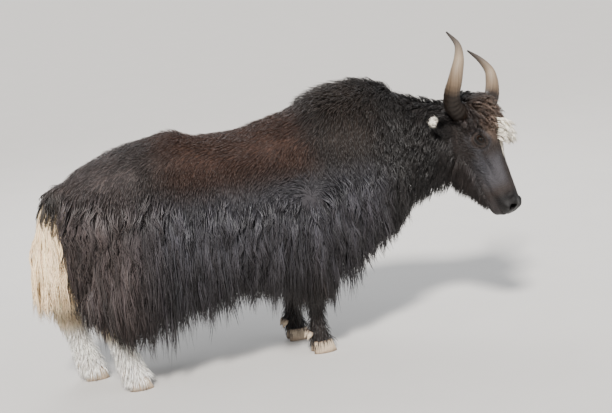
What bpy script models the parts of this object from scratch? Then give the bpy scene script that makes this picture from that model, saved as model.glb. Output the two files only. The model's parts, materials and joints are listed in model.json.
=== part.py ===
# A standing yak bull at life size, head turned to its right.
# Metres, +Z up. The body faces +X, its left side is +Y and the hooves stand on z = 0.
import math
import random

import bmesh
import bpy
import numpy as np
from mathutils import Matrix, Vector
from mathutils.bvhtree import BVHTree

# Every shape is made in body coordinates, then moved so that the whole box is centred.
BODY_SHIFT = Vector((-0.2, 0.004, 0.0))
GAP = 0.0003

# The trunk: x, top, bottom, half width, height of the widest line.
TRUNK = (
    (-0.800, 0.900, 0.660, 0.070, 0.80),
    (-0.745, 0.975, 0.580, 0.150, 0.80),
    (-0.650, 1.035, 0.520, 0.215, 0.77),
    (-0.500, 1.080, 0.490, 0.255, 0.73),
    (-0.350, 1.114, 0.475, 0.275, 0.70),
    (-0.250, 1.119, 0.465, 0.288, 0.69),
    (-0.150, 1.080, 0.460, 0.298, 0.68),
    (0.000, 1.082, 0.460, 0.302, 0.68),
    (0.150, 1.098, 0.460, 0.298, 0.68),
    (0.300, 1.138, 0.465, 0.282, 0.70),
    (0.420, 1.190, 0.470, 0.262, 0.73),
    (0.550, 1.222, 0.480, 0.240, 0.76),
    (0.650, 1.222, 0.500, 0.215, 0.79),
    (0.750, 1.192, 0.530, 0.185, 0.82),
    (0.830, 1.150, 0.570, 0.150, 0.85),
)
# The neck: centre x, y, z, half width, half depth.
NECK = (
    (0.700, 0.000, 0.860, 0.175, 0.285),
    (0.860, -0.005, 0.870, 0.150, 0.240),
    (0.980, -0.035, 0.878, 0.130, 0.195),
    (1.070, -0.085, 0.885, 0.115, 0.160),
    (1.120, -0.110, 0.890, 0.090, 0.120),
)

# The head's own frame: x down the face from the poll, y to its left, z out of the face.
HEAD_ORIGIN = Vector((1.218, -0.121, 1.079))
HEAD_YAW = math.radians(-36)
HEAD_TILT = math.radians(-14)
HEAD_PITCH = math.radians(66)
# The skull with its flesh: x, face height, jaw height, half width, half width of the jaw.
SKULL = (
    (-0.030, -0.080, -0.190, 0.070, 0.060),
    (0.010, -0.030, -0.240, 0.104, 0.080),
    (0.060, 0.002, -0.270, 0.117, 0.085),
    (0.125, 0.016, -0.285, 0.119, 0.084),
    (0.190, 0.012, -0.290, 0.117, 0.082),
    (0.250, -0.006, -0.280, 0.102, 0.074),
    (0.310, -0.026, -0.258, 0.084, 0.062),
    (0.370, -0.034, -0.236, 0.072, 0.054),
    (0.430, -0.040, -0.216, 0.067, 0.050),
    (0.480, -0.044, -0.202, 0.068, 0.050),
    (0.520, -0.050, -0.188, 0.069, 0.050),
    (0.548, -0.062, -0.168, 0.060, 0.044),
    (0.564, -0.085, -0.142, 0.040, 0.030),
)
EYE_PLACE = (0.205, 0.103, -0.075)
EYE_RADIUS = 0.021
NOSTRIL_PLACE = (0.536, 0.040, -0.078)

# Where each foot stands and how its leg rises: x, y, z, half width, half length.
LEG_TOP = 0.440
HOOF_HEIGHT = 0.058
FORE_LEG = (
    (0.060, 0.060, 0.780, 0.070, 0.130),
    (-0.005, 0.055, 0.600, 0.075, 0.105),
    (0.000, 0.040, 0.470, 0.062, 0.078),
    (0.008, 0.020, 0.380, 0.050, 0.058),
    (0.010, 0.010, 0.300, 0.045, 0.052),
    (0.004, 0.006, 0.230, 0.034, 0.038),
    (0.000, 0.002, 0.160, 0.032, 0.036),
    (-0.002, 0.000, 0.105, 0.041, 0.046),
    (0.006, 0.000, 0.075, 0.040, 0.042),
    (0.010, 0.000, 0.045, 0.047, 0.050),
)
HIND_LEG = (
    (0.080, 0.000, 0.800, 0.085, 0.170),
    (0.070, 0.015, 0.640, 0.085, 0.150),
    (0.000, 0.022, 0.520, 0.066, 0.105),
    (-0.070, 0.016, 0.430, 0.048, 0.068),
    (-0.085, 0.008, 0.370, 0.042, 0.058),
    (-0.062, 0.004, 0.300, 0.036, 0.044),
    (-0.036, 0.002, 0.200, 0.032, 0.036),
    (-0.018, 0.000, 0.120, 0.040, 0.044),
    (-0.002, 0.000, 0.078, 0.040, 0.042),
    (0.006, 0.000, 0.045, 0.047, 0.050),
)
FEET = {
    "fore_right": (FORE_LEG, 0.290, -0.140),
    "fore_left": (FORE_LEG, 0.250, 0.130),
    "hind_right": (HIND_LEG, -0.590, -0.145),
    "hind_left": (HIND_LEG, -0.745, 0.135),
}
CLAW_LENGTH = 0.112
CLAW_WIDTH = 0.047
CLAW_PARTING = 0.007

# Where the body is parted: a point of each plane and its normal.
NECK_PLANE = (Vector((0.790, 0.0, 0.860)), Vector((1.0, 0.0, 0.0)))
HEAD_PLANE = (Vector((1.035, -0.100, 0.880)), Vector((0.930, -0.360, -0.050)).normalized())
FORE_PLANE = (Vector((0.180, 0.0, 0.0)), Vector((1.0, 0.0, 0.0)))
HIND_PLANE = (Vector((-0.380, 0.0, 0.0)), Vector((1.0, 0.0, 0.0)))

# The dock of the tail: x, z, half width, half depth.
DOCK = (
    (-0.740, 0.925, 0.045, 0.040),
    (-0.800, 0.915, 0.050, 0.042),
    (-0.850, 0.850, 0.056, 0.048),
    (-0.875, 0.740, 0.066, 0.058),
    (-0.885, 0.620, 0.066, 0.060),
    (-0.882, 0.520, 0.040, 0.036),
)
# The hem of the long coat on either side: x and height of the lock tips.
HEM = (
    (-0.830, 0.430),
    (-0.760, 0.380),
    (-0.600, 0.250),
    (-0.400, 0.222),
    (-0.230, 0.270),
    (-0.110, 0.315),
    (0.080, 0.322),
    (0.200, 0.262),
    (0.400, 0.262),
    (0.500, 0.300),
    (0.620, 0.370),
)

# The long coat's locks: how thick, how deep rooted, how far apart and how they fall.
LOCK_THICKNESS = 0.012
LOCK_SINK = 0.014
LOCK_PITCH = 0.074
LOCK_TWIST = math.radians(17)
REAR_CENTRE = -0.560
FRONT_CENTRE = 0.460
REAR_STEPS = 4
FRONT_STEPS = 4
WHORL_X = 0.310
FAN = 0.10
# Each tier: root height, share of the fall that stays below its tips, outset, lock width.
SKIRT_TIERS = (
    (0.590, 0.00, 0.030, 0.108),
    (0.730, 0.32, 0.042, 0.108),
    (0.865, 0.52, 0.034, 0.104),
)
CREST_START = 0.270
CREST_PITCH = 0.064
CREST_COUNT = 9
# Rows of curls on the poll and forehead: x in the head's frame, half spread, count.
POLL_ROWS = ((0.005, 0.060, 3), (0.065, 0.072, 3), (0.125, 0.062, 3), (0.180, 0.028, 2))
POLL_STAND = (0.030, 0.026, 0.026, 0.036)
JAW_COUNT = 4
# Tiers of the tail's brush: root height, tip height, count, outset.
TAIL_TIERS = (
    (0.560, 0.385, 5, 0.050),
    (0.640, 0.420, 5, 0.078),
    (0.750, 0.530, 5, 0.082),
    (0.860, 0.660, 4, 0.066),
)
EAR_LENGTH = 0.150

# About how many triangles the body and the head keep before their locks.
BODY_FACES = 3500
HEAD_FACES = 1900
COAT_SEED = 7
# About how many triangles each clothed node keeps.
COAT_FACES = {
    "hindquarters": 2464,
    "barrel": 2300,
    "forequarters": 3416,
    "neck": 1155,
    "head": 2900,
    "tail": 1150,
}

# Colour and roughness of each kind of node.
DARK_COAT = ((0.046, 0.037, 0.033), 0.85)
RUMP_COAT = ((0.070, 0.058, 0.052), 0.85)
LOOKS = {
    "head": ((0.042, 0.037, 0.034), 0.75),
    "neck": DARK_COAT,
    "forequarters": DARK_COAT,
    "barrel": DARK_COAT,
    "hindquarters": RUMP_COAT,
    "tail": ((0.560, 0.420, 0.290), 0.80),
    "leg_fore": ((0.060, 0.052, 0.048), 0.75),
    "leg_hind": ((0.780, 0.740, 0.660), 0.75),
    "claw": ((0.520, 0.430, 0.340), 0.50),
    "ear": ((0.760, 0.690, 0.600), 0.80),
    "eye": ((0.009, 0.006, 0.005), 0.12),
    "horn": ((0.420, 0.350, 0.300), 0.45),
}
SMOOTH_ANGLE = math.radians(40)

# Each horn in the head's frame, from its root inside the skull to its tip, and its radii.
HORN_RIGHT = (
    (0.060, -0.070, -0.095),
    (0.048, -0.125, -0.105),
    (0.012, -0.190, -0.104),
    (-0.025, -0.245, -0.073),
    (-0.057, -0.275, -0.036),
    (-0.094, -0.286, -0.004),
    (-0.150, -0.276, 0.032),
    (-0.215, -0.250, 0.047),
    (-0.297, -0.215, 0.021),
)
HORN_LEFT = (
    (0.060, 0.070, -0.070),
    (0.050, 0.125, -0.055),
    (0.028, 0.180, -0.028),
    (-0.004, 0.230, 0.002),
    (-0.044, 0.258, 0.021),
    (-0.092, 0.275, 0.037),
    (-0.141, 0.274, 0.045),
    (-0.200, 0.246, 0.032),
    (-0.260, 0.200, 0.003),
)
HORN_RADII = (0.043, 0.043, 0.040, 0.037, 0.034, 0.030, 0.023, 0.014, 0.004)


# How the clothed nodes are parted again after their locks are fused.
TRUNK_CUTS = {
    "neck": ((NECK_PLANE, -1), (HEAD_PLANE, 1)),
    "head": ((HEAD_PLANE, -1),),
    "forequarters": ((FORE_PLANE, -1), (NECK_PLANE, 1)),
    "barrel": ((HIND_PLANE, -1), (FORE_PLANE, 1)),
    "hindquarters": ((HIND_PLANE, 1),),
}


def clear_scene():
    for item in list(bpy.data.objects):
        bpy.data.objects.remove(item, do_unlink=True)


def head_frame():
    turn = Matrix.Rotation(HEAD_YAW, 4, "Z") @ Matrix.Rotation(HEAD_TILT, 4, "X")
    turn = turn @ Matrix.Rotation(HEAD_PITCH, 4, "Y")
    return Matrix.Translation(HEAD_ORIGIN) @ turn


HEAD = head_frame()


def material(name, colour, roughness):
    made = bpy.data.materials.new(name)
    made.use_nodes = True
    shader = made.node_tree.nodes["Principled BSDF"]
    shader.inputs["Base Color"].default_value = (*colour, 1.0)
    shader.inputs["Roughness"].default_value = roughness
    return made


def look_of(name):
    """The colour and roughness of the kind that a node's name begins with."""
    return next(look for kind, look in LOOKS.items() if name.startswith(kind))


def new_object(name, mesh):
    made = bpy.data.objects.new(name, mesh)
    bpy.context.scene.collection.objects.link(made)
    return made


def from_rings(rings, name):
    """A closed mesh through rings of equal length, capped at both ends."""
    count = len(rings[0])
    points = [point for ring in rings for point in ring]
    faces = []
    for step in range(len(rings) - 1):
        for side in range(count):
            a = step * count + side
            b = step * count + (side + 1) % count
            faces.append((a, b, b + count, a + count))
    faces.append(tuple(reversed(range(count))))
    faces.append(tuple(range((len(rings) - 1) * count, len(rings) * count)))
    mesh = bpy.data.meshes.new(name)
    mesh.from_pydata([tuple(point) for point in points], [], faces)
    tidy_faces(mesh)
    return new_object(name, mesh)


def tidy_faces(mesh):
    shell = bmesh.new()
    shell.from_mesh(mesh)
    bmesh.ops.triangulate(shell, faces=shell.faces[:])
    bmesh.ops.recalc_face_normals(shell, faces=shell.faces[:])
    if shell.calc_volume(signed=True) < 0:
        bmesh.ops.reverse_faces(shell, faces=shell.faces[:])
    shell.to_mesh(mesh)
    shell.free()


def smooth_between(table, steps):
    """The rows of a table with steps - 1 more rows between each two, on a smooth curve."""
    rows = np.array(table, float)
    padded = np.vstack([2 * rows[0] - rows[1], rows, 2 * rows[-1] - rows[-2]])
    out = []
    for index in range(len(rows) - 1):
        a, b, c, d = padded[index : index + 4]
        for step in range(steps):
            t = step / steps
            out.append(
                0.5
                * (
                    2 * b
                    + (c - a) * t
                    + (2 * a - 5 * b + 4 * c - d) * t**2
                    + (3 * b - a - 3 * c + d) * t**3
                )
            )
    out.append(rows[-1])
    return out


def tube(rows, name, sides=20, steps=3, side_axis=Vector((0, 1, 0))):
    """A tube along centre points, each row x, y, z, half width and half depth."""
    path = smooth_between(rows, steps)
    centres = [Vector(row[:3]) for row in path]
    rings = []
    for index, row in enumerate(path):
        ahead = centres[min(index + 1, len(path) - 1)]
        behind = centres[max(index - 1, 0)]
        along = (ahead - behind).normalized()
        across = (side_axis - along * side_axis.dot(along)).normalized()
        depth = along.cross(across)
        ring = []
        for side in range(sides):
            angle = math.tau * side / sides
            ring.append(
                centres[index]
                + across * (max(row[3], 0.003) * math.sin(angle))
                + depth * (max(row[4], 0.003) * math.cos(angle))
            )
        rings.append(ring)
    return from_rings(rings, name)


def trunk_ring(x, top, low, half, wide, sides=36):
    ring = []
    for side in range(sides):
        angle = math.tau * side / sides
        up = math.cos(angle)
        out = math.sin(angle)
        reach = top - wide if up > 0 else wide - low
        lean = 1.22 if up > 0 else 0.80
        y = half * math.copysign(abs(out) ** lean, out)
        ring.append(Vector((x, y, wide + reach * up)))
    return ring


def trunk():
    return from_rings([trunk_ring(*row) for row in smooth_between(TRUNK, 3)], "trunk")


def skull_ring(x, face, jaw, half, jaw_half, sides=32):
    ring = []
    wide = face + (jaw - face) * 0.40
    for side in range(sides):
        angle = math.tau * side / sides
        up = math.cos(angle)
        out = math.sin(angle)
        reach = face - wide if up > 0 else wide - jaw
        width = half if up > 0 else half + (jaw_half - half) * (-up) ** 0.8
        y = width * math.copysign(abs(out) ** 0.75, out)
        ring.append(HEAD @ Vector((x, y, wide + reach * math.copysign(abs(up) ** 0.9, up))))
    return ring


def skull():
    return from_rings([skull_ring(*row) for row in smooth_between(SKULL, 3)], "skull")


def ball(centre, radii, name, frame=None, segments=20):
    shell = bmesh.new()
    bmesh.ops.create_uvsphere(shell, u_segments=segments, v_segments=segments // 2, radius=1.0)
    place = Matrix.Translation(Vector(centre)) @ Matrix.Diagonal((*radii, 1.0))
    if frame is not None:
        place = frame @ place
    bmesh.ops.transform(shell, matrix=place, verts=shell.verts)
    mesh = bpy.data.meshes.new(name)
    shell.to_mesh(mesh)
    shell.free()
    tidy_faces(mesh)
    return new_object(name, mesh)


def leg_rows(shape, foot_x, foot_y):
    side = math.copysign(1.0, foot_y)
    return [(foot_x + x, foot_y + side * y, z, half, depth) for x, y, z, half, depth in shape]


def leg(name):
    shape, foot_x, foot_y = FEET[name]
    return tube(leg_rows(shape, foot_x, foot_y), "leg_core_" + name, sides=18, steps=3)


def evaluated_mesh(item):
    graph = bpy.context.evaluated_depsgraph_get()
    return bpy.data.meshes.new_from_object(item.evaluated_get(graph))


def apply_modifiers(item):
    mesh = evaluated_mesh(item)
    item.modifiers.clear()
    old = item.data
    item.data = mesh
    bpy.data.meshes.remove(old)


def one_skin(pieces, name, voxel, smoothing, faces):
    """Closed pieces run together into one smooth skin of about so many triangles."""
    shell = bmesh.new()
    for piece in pieces:
        shell.from_mesh(piece.data)
    mesh = bpy.data.meshes.new(name)
    shell.to_mesh(mesh)
    shell.free()
    for piece in pieces:
        bpy.data.objects.remove(piece)
    item = new_object(name, mesh)
    remesh = item.modifiers.new("one_skin", "REMESH")
    remesh.mode = "VOXEL"
    remesh.voxel_size = voxel
    relax = item.modifiers.new("relax", "SMOOTH")
    relax.factor = 0.5
    relax.iterations = smoothing
    apply_modifiers(item)
    thin(item, faces)
    return item


def thin(item, faces):
    """Fewer faces with the same shape."""
    tidy_faces(item.data)
    reduce = item.modifiers.new("reduce", "DECIMATE")
    reduce.ratio = min(1.0, faces / len(item.data.polygons))
    apply_modifiers(item)


def join(item, operation, others):
    """One Boolean of an object with a collection of closed meshes, which it uses up."""
    group = bpy.data.collections.new("joined")
    for other in others:
        group.objects.link(other)
        other.hide_render = True
        other.display_type = "WIRE"
    step = item.modifiers.new("join", "BOOLEAN")
    step.operation = operation
    step.operand_type = "COLLECTION"
    step.collection = group
    step.solver = "MANIFOLD"
    apply_modifiers(item)
    for other in others:
        bpy.data.objects.remove(other)
    bpy.data.collections.remove(group)
    keep_largest(item)


def keep_largest(item):
    """Only the closed surface with the most volume stays."""
    shell = bmesh.new()
    shell.from_mesh(item.data)
    shell.faces.ensure_lookup_table()
    unseen = set(shell.faces)
    groups = []
    while unseen:
        front = [unseen.pop()]
        group = list(front)
        while front:
            face = front.pop()
            for edge in face.edges:
                for other in edge.link_faces:
                    if other in unseen:
                        unseen.remove(other)
                        front.append(other)
                        group.append(other)
        groups.append(group)
    if len(groups) > 1:
        groups.sort(key=shell_volume)
        loose = [face for group in groups[:-1] for face in group]
        bmesh.ops.delete(shell, geom=loose, context="FACES")
    shell.to_mesh(item.data)
    shell.free()


def shell_volume(faces):
    total = 0.0
    for face in faces:
        corners = [vert.co for vert in face.verts]
        for index in range(1, len(corners) - 1):
            total += corners[0].dot(corners[index].cross(corners[index + 1]))
    return total


def beyond(plane, side):
    """A large block on one side of a parting plane, half the gap away from it."""
    point, normal = plane
    size = 4.0
    shell = bmesh.new()
    bmesh.ops.create_cube(shell, size=size)
    turn = Vector((0, 0, 1)).rotation_difference(normal * side).to_matrix().to_4x4()
    # The block's near face stands half the gap short of the plane, on the kept side.
    centre = point + normal * side * (size / 2 - GAP / 2)
    bmesh.ops.transform(shell, matrix=Matrix.Translation(centre) @ turn, verts=shell.verts)
    mesh = bpy.data.meshes.new("beyond")
    shell.to_mesh(mesh)
    shell.free()
    tidy_faces(mesh)
    return new_object("beyond", mesh)


def copy_of(item, name):
    made = new_object(name, item.data.copy())
    return made


def hoof_claw(foot_x, foot_y, side, name):
    """One claw, rounded at the toe, upright at the heel, flat below and above."""
    rings = []
    levels = ((0.0, 1.00), (0.03, 0.96), (HOOF_HEIGHT - GAP, 0.84))
    middle = foot_y + side * (CLAW_PARTING + CLAW_WIDTH) / 2
    for height, size in levels:
        ring = []
        toe = 0.5 * CLAW_LENGTH - 0.36 * height
        heel = -0.5 * CLAW_LENGTH + 0.10 * height
        for step in range(12):
            angle = math.tau * step / 12
            forward = math.cos(angle)
            reach = toe if forward > 0 else -heel
            x = foot_x + 0.018 + reach * math.copysign(abs(forward) ** 0.9, forward)
            narrow = 1.0 - 0.28 * max(forward, 0.0) ** 2
            y = 0.5 * CLAW_WIDTH * size * narrow * math.sin(angle)
            inner = -side * 0.5 * CLAW_WIDTH * size * 0.96
            # The wall beside the parting runs straight.
            if y * side < 0:
                y = max(abs(y) * 1.25, 0.0) * -side
                y = max(min(y, abs(inner)), -abs(inner))
            ring.append(Vector((x, middle + y, height)))
        rings.append(ring)
    return from_rings(rings, name)


def horn(points, name):
    rows = [(*point, radius, radius) for point, radius in zip(points, HORN_RADII)]
    item = tube(rows, name, sides=9, steps=2, side_axis=Vector((0, 0, 1)))
    item.data.transform(HEAD)
    return item


def ear_axes(side):
    """The ear's root, its aim, the way across it and the way its cup opens, in the head's frame."""
    root = Vector((0.098, side * 0.085, -0.160))
    aim = Vector((-0.22, side * 0.88, -0.30)).normalized()
    opening = Vector((0.60, side * 0.25, 0.55))
    opening = (opening - aim * opening.dot(aim)).normalized()
    return root, aim, aim.cross(opening).normalized(), opening


def ear(side, name):
    """A leaf-shaped ear with a hollow on its front face, standing out behind the horn."""
    root, aim, across, opening = ear_axes(side)
    sizes = ((0.0, 0.024), (0.20, 0.030), (0.42, 0.040), (0.62, 0.040), (0.80, 0.029), (0.94, 0.013))
    rings = []
    for share, half in sizes:
        centre = root + aim * (EAR_LENGTH * share)
        hollow = min(1.0, max(0.0, share - 0.1) * 5)
        ring = []
        for step in range(7):
            angle = math.pi * step / 6
            back = 0.85 * half * math.sin(angle)
            ring.append(centre + across * (half * math.cos(angle)) - opening * back)
        for step in range(1, 6):
            angle = math.pi - math.pi * step / 6
            back = (0.85 * half * math.sin(angle) - 0.009) * hollow
            ring.append(centre + across * (0.84 * half * math.cos(angle)) - opening * back)
        rings.append([HEAD @ point for point in ring])
    return from_rings(rings, name)


def swollen(item, amount, name):
    """A copy whose surface stands out by a small amount."""
    made = copy_of(item, name)
    shell = bmesh.new()
    shell.from_mesh(made.data)
    shell.normal_update()
    moved = [vert.co + vert.normal * amount for vert in shell.verts]
    for vert, place in zip(shell.verts, moved):
        vert.co = place
    shell.to_mesh(made.data)
    shell.free()
    return made


def hem_height(x):
    xs = [row[0] for row in HEM]
    heights = [row[1] for row in HEM]
    return float(np.interp(x, xs, heights))


def lock(root, outward, tip, width, bow, twist, draw, rings=4):
    """One flat lock: rooted under the surface, bowed outward, then bent over to its tip."""
    length = (tip - root).length
    hang = (tip - root).normalized()
    start = root - outward * LOCK_SINK - hang * 0.2 * LOCK_SINK
    lifted = root + outward * bow + hang * length * 0.28
    bent = tip - Vector((0, 0, -1)) * length * 0.30 + outward * bow * 0.5
    points = []
    for step in range(rings + 1):
        t = step / rings
        points.append(
            start * (1 - t) ** 3
            + lifted * 3 * t * (1 - t) ** 2
            + bent * 3 * t**2 * (1 - t)
            + tip * t**3
        )
    shape = []
    for step in range(rings):
        along = (points[step + 1] - points[max(step - 1, 0)]).normalized()
        across = along.cross(outward).normalized()
        across.rotate(Matrix.Rotation(twist, 3, along))
        face = across.cross(along).normalized()
        share = step / rings
        half = 0.5 * width * (0.62 + 1.55 * share - 1.80 * share**2)
        high = LOCK_THICKNESS * (1.0 - 0.55 * share)
        lean = half * draw.uniform(-0.25, 0.25)
        shape.append(points[step] - across * half)
        shape.append(points[step] + across * half)
        shape.append(points[step] + across * lean + face * high)
    shape.append(points[rings])
    faces = [(0, 1, 2)]
    for step in range(rings - 1):
        for side in range(3):
            a = 3 * step + side
            b = 3 * step + (side + 1) % 3
            faces.append((a, a + 3, b + 3, b))
    last = 3 * (rings - 1)
    end = len(shape) - 1
    for side in range(3):
        faces.append((last + side, end, last + (side + 1) % 3))
    mesh = bpy.data.meshes.new("lock")
    mesh.from_pydata([tuple(point) for point in shape], [], faces)
    tidy_faces(mesh)
    return new_object("lock", mesh)


def surface_of(item):
    shell = bmesh.new()
    shell.from_mesh(item.data)
    tree = BVHTree.FromBMesh(shell)
    shell.free()
    return tree


def trunk_walk():
    """Places round the trunk, from the rump past the flank to the breast, for one side."""
    places = []
    for step in range(REAR_STEPS):
        angle = math.radians(152 - 62 * step / REAR_STEPS)
        places.append((Vector((REAR_CENTRE, 0, 0)), Vector((math.cos(angle), math.sin(angle), 0))))
    count = round((FRONT_CENTRE - REAR_CENTRE) / LOCK_PITCH)
    for step in range(count):
        x = REAR_CENTRE + (FRONT_CENTRE - REAR_CENTRE) * (step + 0.5) / count
        places.append((Vector((x, 0, 0)), Vector((0, 1, 0))))
    for step in range(FRONT_STEPS):
        angle = math.radians(90 - 86 * (step + 0.5) / FRONT_STEPS)
        places.append((Vector((FRONT_CENTRE, 0, 0)), Vector((math.cos(angle), math.sin(angle), 0))))
    return places


def reach(tree, centre, way, height):
    """How far the core reaches from a centre line at a height, with the normal there."""
    start = Vector((centre.x, centre.y, height)) + way * 1.5
    place, normal, _, _ = tree.ray_cast(start, -way)
    if place is None:
        return 0.0, way
    flat = Vector((place.x - centre.x, place.y - centre.y, 0))
    return flat.dot(way), normal


def skirt_locks(tree, draw):
    """The long coat in tiers: each lock with its root's x, so that it goes to its node."""
    made = []
    for tier_root, tier_tip, outset, width in SKIRT_TIERS:
        for side in (-1, 1):
            for centre, way in trunk_walk():
                way = Vector((way.x, way.y * side, 0))
                shift = draw.uniform(-0.012, 0.012)
                centre = centre + Vector((shift, 0, 0))
                root_height = tier_root + draw.uniform(-0.018, 0.018)
                near = reach(tree, centre, way, root_height)
                if near[0] == 0.0:
                    continue
                root = Vector((centre.x, centre.y, root_height)) + way * near[0]
                low = hem_height(root.x)
                tip_height = low + tier_tip * (root_height - low) + draw.uniform(-0.015, 0.02)
                widest = near[0]
                for share in (0.3, 0.6, 0.9):
                    height = root_height + (tip_height - root_height) * share
                    widest = max(widest, reach(tree, centre, way, height)[0])
                tip = Vector((centre.x, centre.y, tip_height)) + way * (widest + outset)
                tip.x += FAN * (root.x - WHORL_X) - 0.012 + draw.uniform(-0.012, 0.012)
                outward = (near[1] + way * 0.6).normalized()
                twist = side * LOCK_TWIST + draw.uniform(-0.04, 0.04)
                wide = width * draw.uniform(0.88, 1.12)
                made.append((root.x, lock(root, outward, tip, wide, 0.022, twist, draw)))
    return made


def crest_locks(tree, draw):
    """Short locks that lie back along the hump and the spine."""
    made = []
    for x, side in ((CREST_START + CREST_PITCH * step, side)
                    for step in range(CREST_COUNT) for side in (-1, 1)):
        y = side * draw.uniform(0.022, 0.045)
        place, normal, _, _ = tree.ray_cast(Vector((x + 0.012 * side, y, 2.0)), Vector((0, 0, -1)))
        if place is None:
            continue
        tip = place + normal * 0.030 + Vector((-0.100, side * 0.035, -0.020))
        made.append((place.x, lock(place, normal, tip, 0.088, 0.016, side * 0.15, draw, 3)))
    return made


def neck_locks(tree, draw):
    """The mane of the neck: nape, sides and throat, lying back and down."""
    made = []
    for step in range(3):
        share = (step + 0.6) / 3
        centre = Vector((0.80 + 0.22 * share, -0.035 * share, 0.875))
        for index in range(8):
            angle = math.radians(-158 + 45 * index + 20 * (step % 2))
            way = Vector((0.0, math.sin(angle), math.cos(angle)))
            place, normal, _, _ = tree.ray_cast(centre + way * 0.8, -way)
            if place is None:
                continue
            down = 0.5 - 0.5 * way.z
            length = 0.10 + 0.055 * down
            lie = Vector((-0.75 + 0.25 * down, way.y * 0.1, -0.55 - 0.35 * down)).normalized()
            stand = 0.018 + 0.016 * down
            tip = place + lie * length * (0.55 if down > 0.85 else 1.0) + normal * stand
            if tip.x < NECK_PLANE[0].x + 0.004:
                tip.x = NECK_PLANE[0].x + 0.004
            made.append(lock(place, normal, tip, 0.078, 0.014, draw.uniform(-0.12, 0.12), draw, 3))
    return made


def head_locks(tree, draw):
    """The curls of the poll and forehead and the beard along the jaw."""
    made = []
    turn = HEAD.to_3x3()
    for row, (x, spread, count) in enumerate(POLL_ROWS):
        for index in range(count):
            y = spread * (2 * (index + 0.5) / count - 1) + draw.uniform(-0.008, 0.008)
            start = HEAD @ Vector((x, y, 0.4))
            place, normal, _, _ = tree.ray_cast(start, turn @ Vector((0, 0, -1)))
            if place is None:
                continue
            lie = turn @ Vector((0.072, y * 0.35, 0.0))
            tip = place + lie + normal * POLL_STAND[row]
            made.append(lock(place, normal, tip, 0.056, 0.026, draw.uniform(-0.2, 0.2), draw, 3))
    for index in range(JAW_COUNT):
        x = 0.150 + 0.245 * index / (JAW_COUNT - 1)
        for side in (-1, 1):
            start = HEAD @ Vector((x, side * 0.032, -0.8))
            place, normal, _, _ = tree.ray_cast(start, turn @ Vector((0, 0, 1)))
            if place is None:
                continue
            tip = place + turn @ Vector((-0.045, side * 0.012, -0.050 + 0.02 * index / JAW_COUNT))
            made.append(lock(place, normal, tip, 0.058, 0.008, draw.uniform(-0.2, 0.2), draw, 3))
    return made


def tail_locks(tree, draw):
    """The brush of the tail, in tiers round the dock, out to the tips."""
    made = []
    for row, (height, tip_height, count, outset) in enumerate(TAIL_TIERS):
        centre_x = float(np.interp(-height, [-z for _, z, _, _ in DOCK[1:]], [x for x, _, _, _ in DOCK[1:]]))
        for index in range(count):
            angle = math.tau * (index + 0.5 * (row % 2)) / count
            way = Vector((math.cos(angle), math.sin(angle), 0))
            if way.x > 0.55:
                continue
            start = Vector((centre_x, 0, height)) + way
            place, normal, _, _ = tree.ray_cast(start, -way)
            if place is None or place.x > -0.800:
                continue
            tip = Vector((centre_x - 0.012, 0, tip_height + draw.uniform(-0.02, 0.02)))
            tip += Vector((way.x * 0.85, way.y, 0)) * outset
            made.append(lock(place, way, tip, 0.082, 0.020, draw.uniform(-0.1, 0.1), draw))
    return made


def ear_locks(tree, side, draw):
    """The fringe of white hair at the tip and rims of an ear."""
    made = []
    root, aim, across, opening = ear_axes(side)
    for share, offset in ((0.55, -0.4), (0.70, 0.4), (0.84, 0.0)):
        start = root + aim * (EAR_LENGTH * share) + across * 0.03 * offset - opening * 0.5
        place, normal, _, _ = tree.ray_cast(HEAD @ start, HEAD.to_3x3() @ opening)
        if place is None:
            continue
        lie = HEAD.to_3x3() @ (aim * 0.055 + across * 0.012 * offset)
        tip = place + lie + normal * 0.010 + Vector((0, 0, -0.014))
        made.append(lock(place, normal, tip, 0.030, 0.006, 0.0, draw, 3))
    return made


def eye_centre(side):
    x, y, z = EYE_PLACE
    return Vector((x, side * y, z))


def lid_ring(side, name):
    """The thick rim of both lids, an almond laid round the front of the eyeball."""
    centre = eye_centre(side)
    outward = Vector((0.06, side * 0.97, 0.22)).normalized()
    along = Vector((1.0, 0.0, 0.0))
    along = (along - outward * along.dot(outward)).normalized()
    rise = outward.cross(along) * side
    rings = []
    count = 16
    for step in range(count):
        angle = math.tau * step / count
        spread = 0.0225 * math.cos(angle)
        height = 0.0135 * math.sin(angle) * (1.0 if math.sin(angle) > 0 else 0.85)
        middle = centre + along * spread + rise * height + outward * (0.0165 - 0.30 * abs(spread))
        ring_out = (along * math.cos(angle) + rise * math.sin(angle)).normalized()
        ring = []
        for turn in range(6):
            way = math.tau * turn / 6
            ring.append(HEAD @ (middle + ring_out * 0.0062 * math.cos(way) + outward * 0.0058 * math.sin(way)))
        rings.append(ring)
    points = [tuple(point) for ring in rings for point in ring]
    faces = []
    for step in range(count):
        for turn in range(6):
            a = step * 6 + turn
            b = step * 6 + (turn + 1) % 6
            c = (step + 1) % count * 6 + (turn + 1) % 6
            d = (step + 1) % count * 6 + turn
            faces.append((a, b, c, d))
    mesh = bpy.data.meshes.new(name)
    mesh.from_pydata(points, [], faces)
    tidy_faces(mesh)
    return new_object(name, mesh)


def mouth_cutter():
    """A thin curved wedge that presses the line of the mouth into the muzzle."""
    rings = []
    for step in range(13):
        angle = math.radians(-108 + 216 * step / 12)
        x = 0.478 + 0.098 * math.cos(angle)
        y = 0.082 * math.sin(angle)
        z = -0.140 - 0.028 * (1 - math.cos(angle))
        back = Vector((-math.cos(angle), -math.sin(angle), 0.0))
        rim = Vector((x, y, z))
        inner = rim + back * 0.036
        ring = [rim + Vector((0, 0, 0.005)), inner, rim - Vector((0, 0, 0.005))]
        rings.append([HEAD @ point for point in ring])
    return from_rings(rings, "mouth_line")


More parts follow.
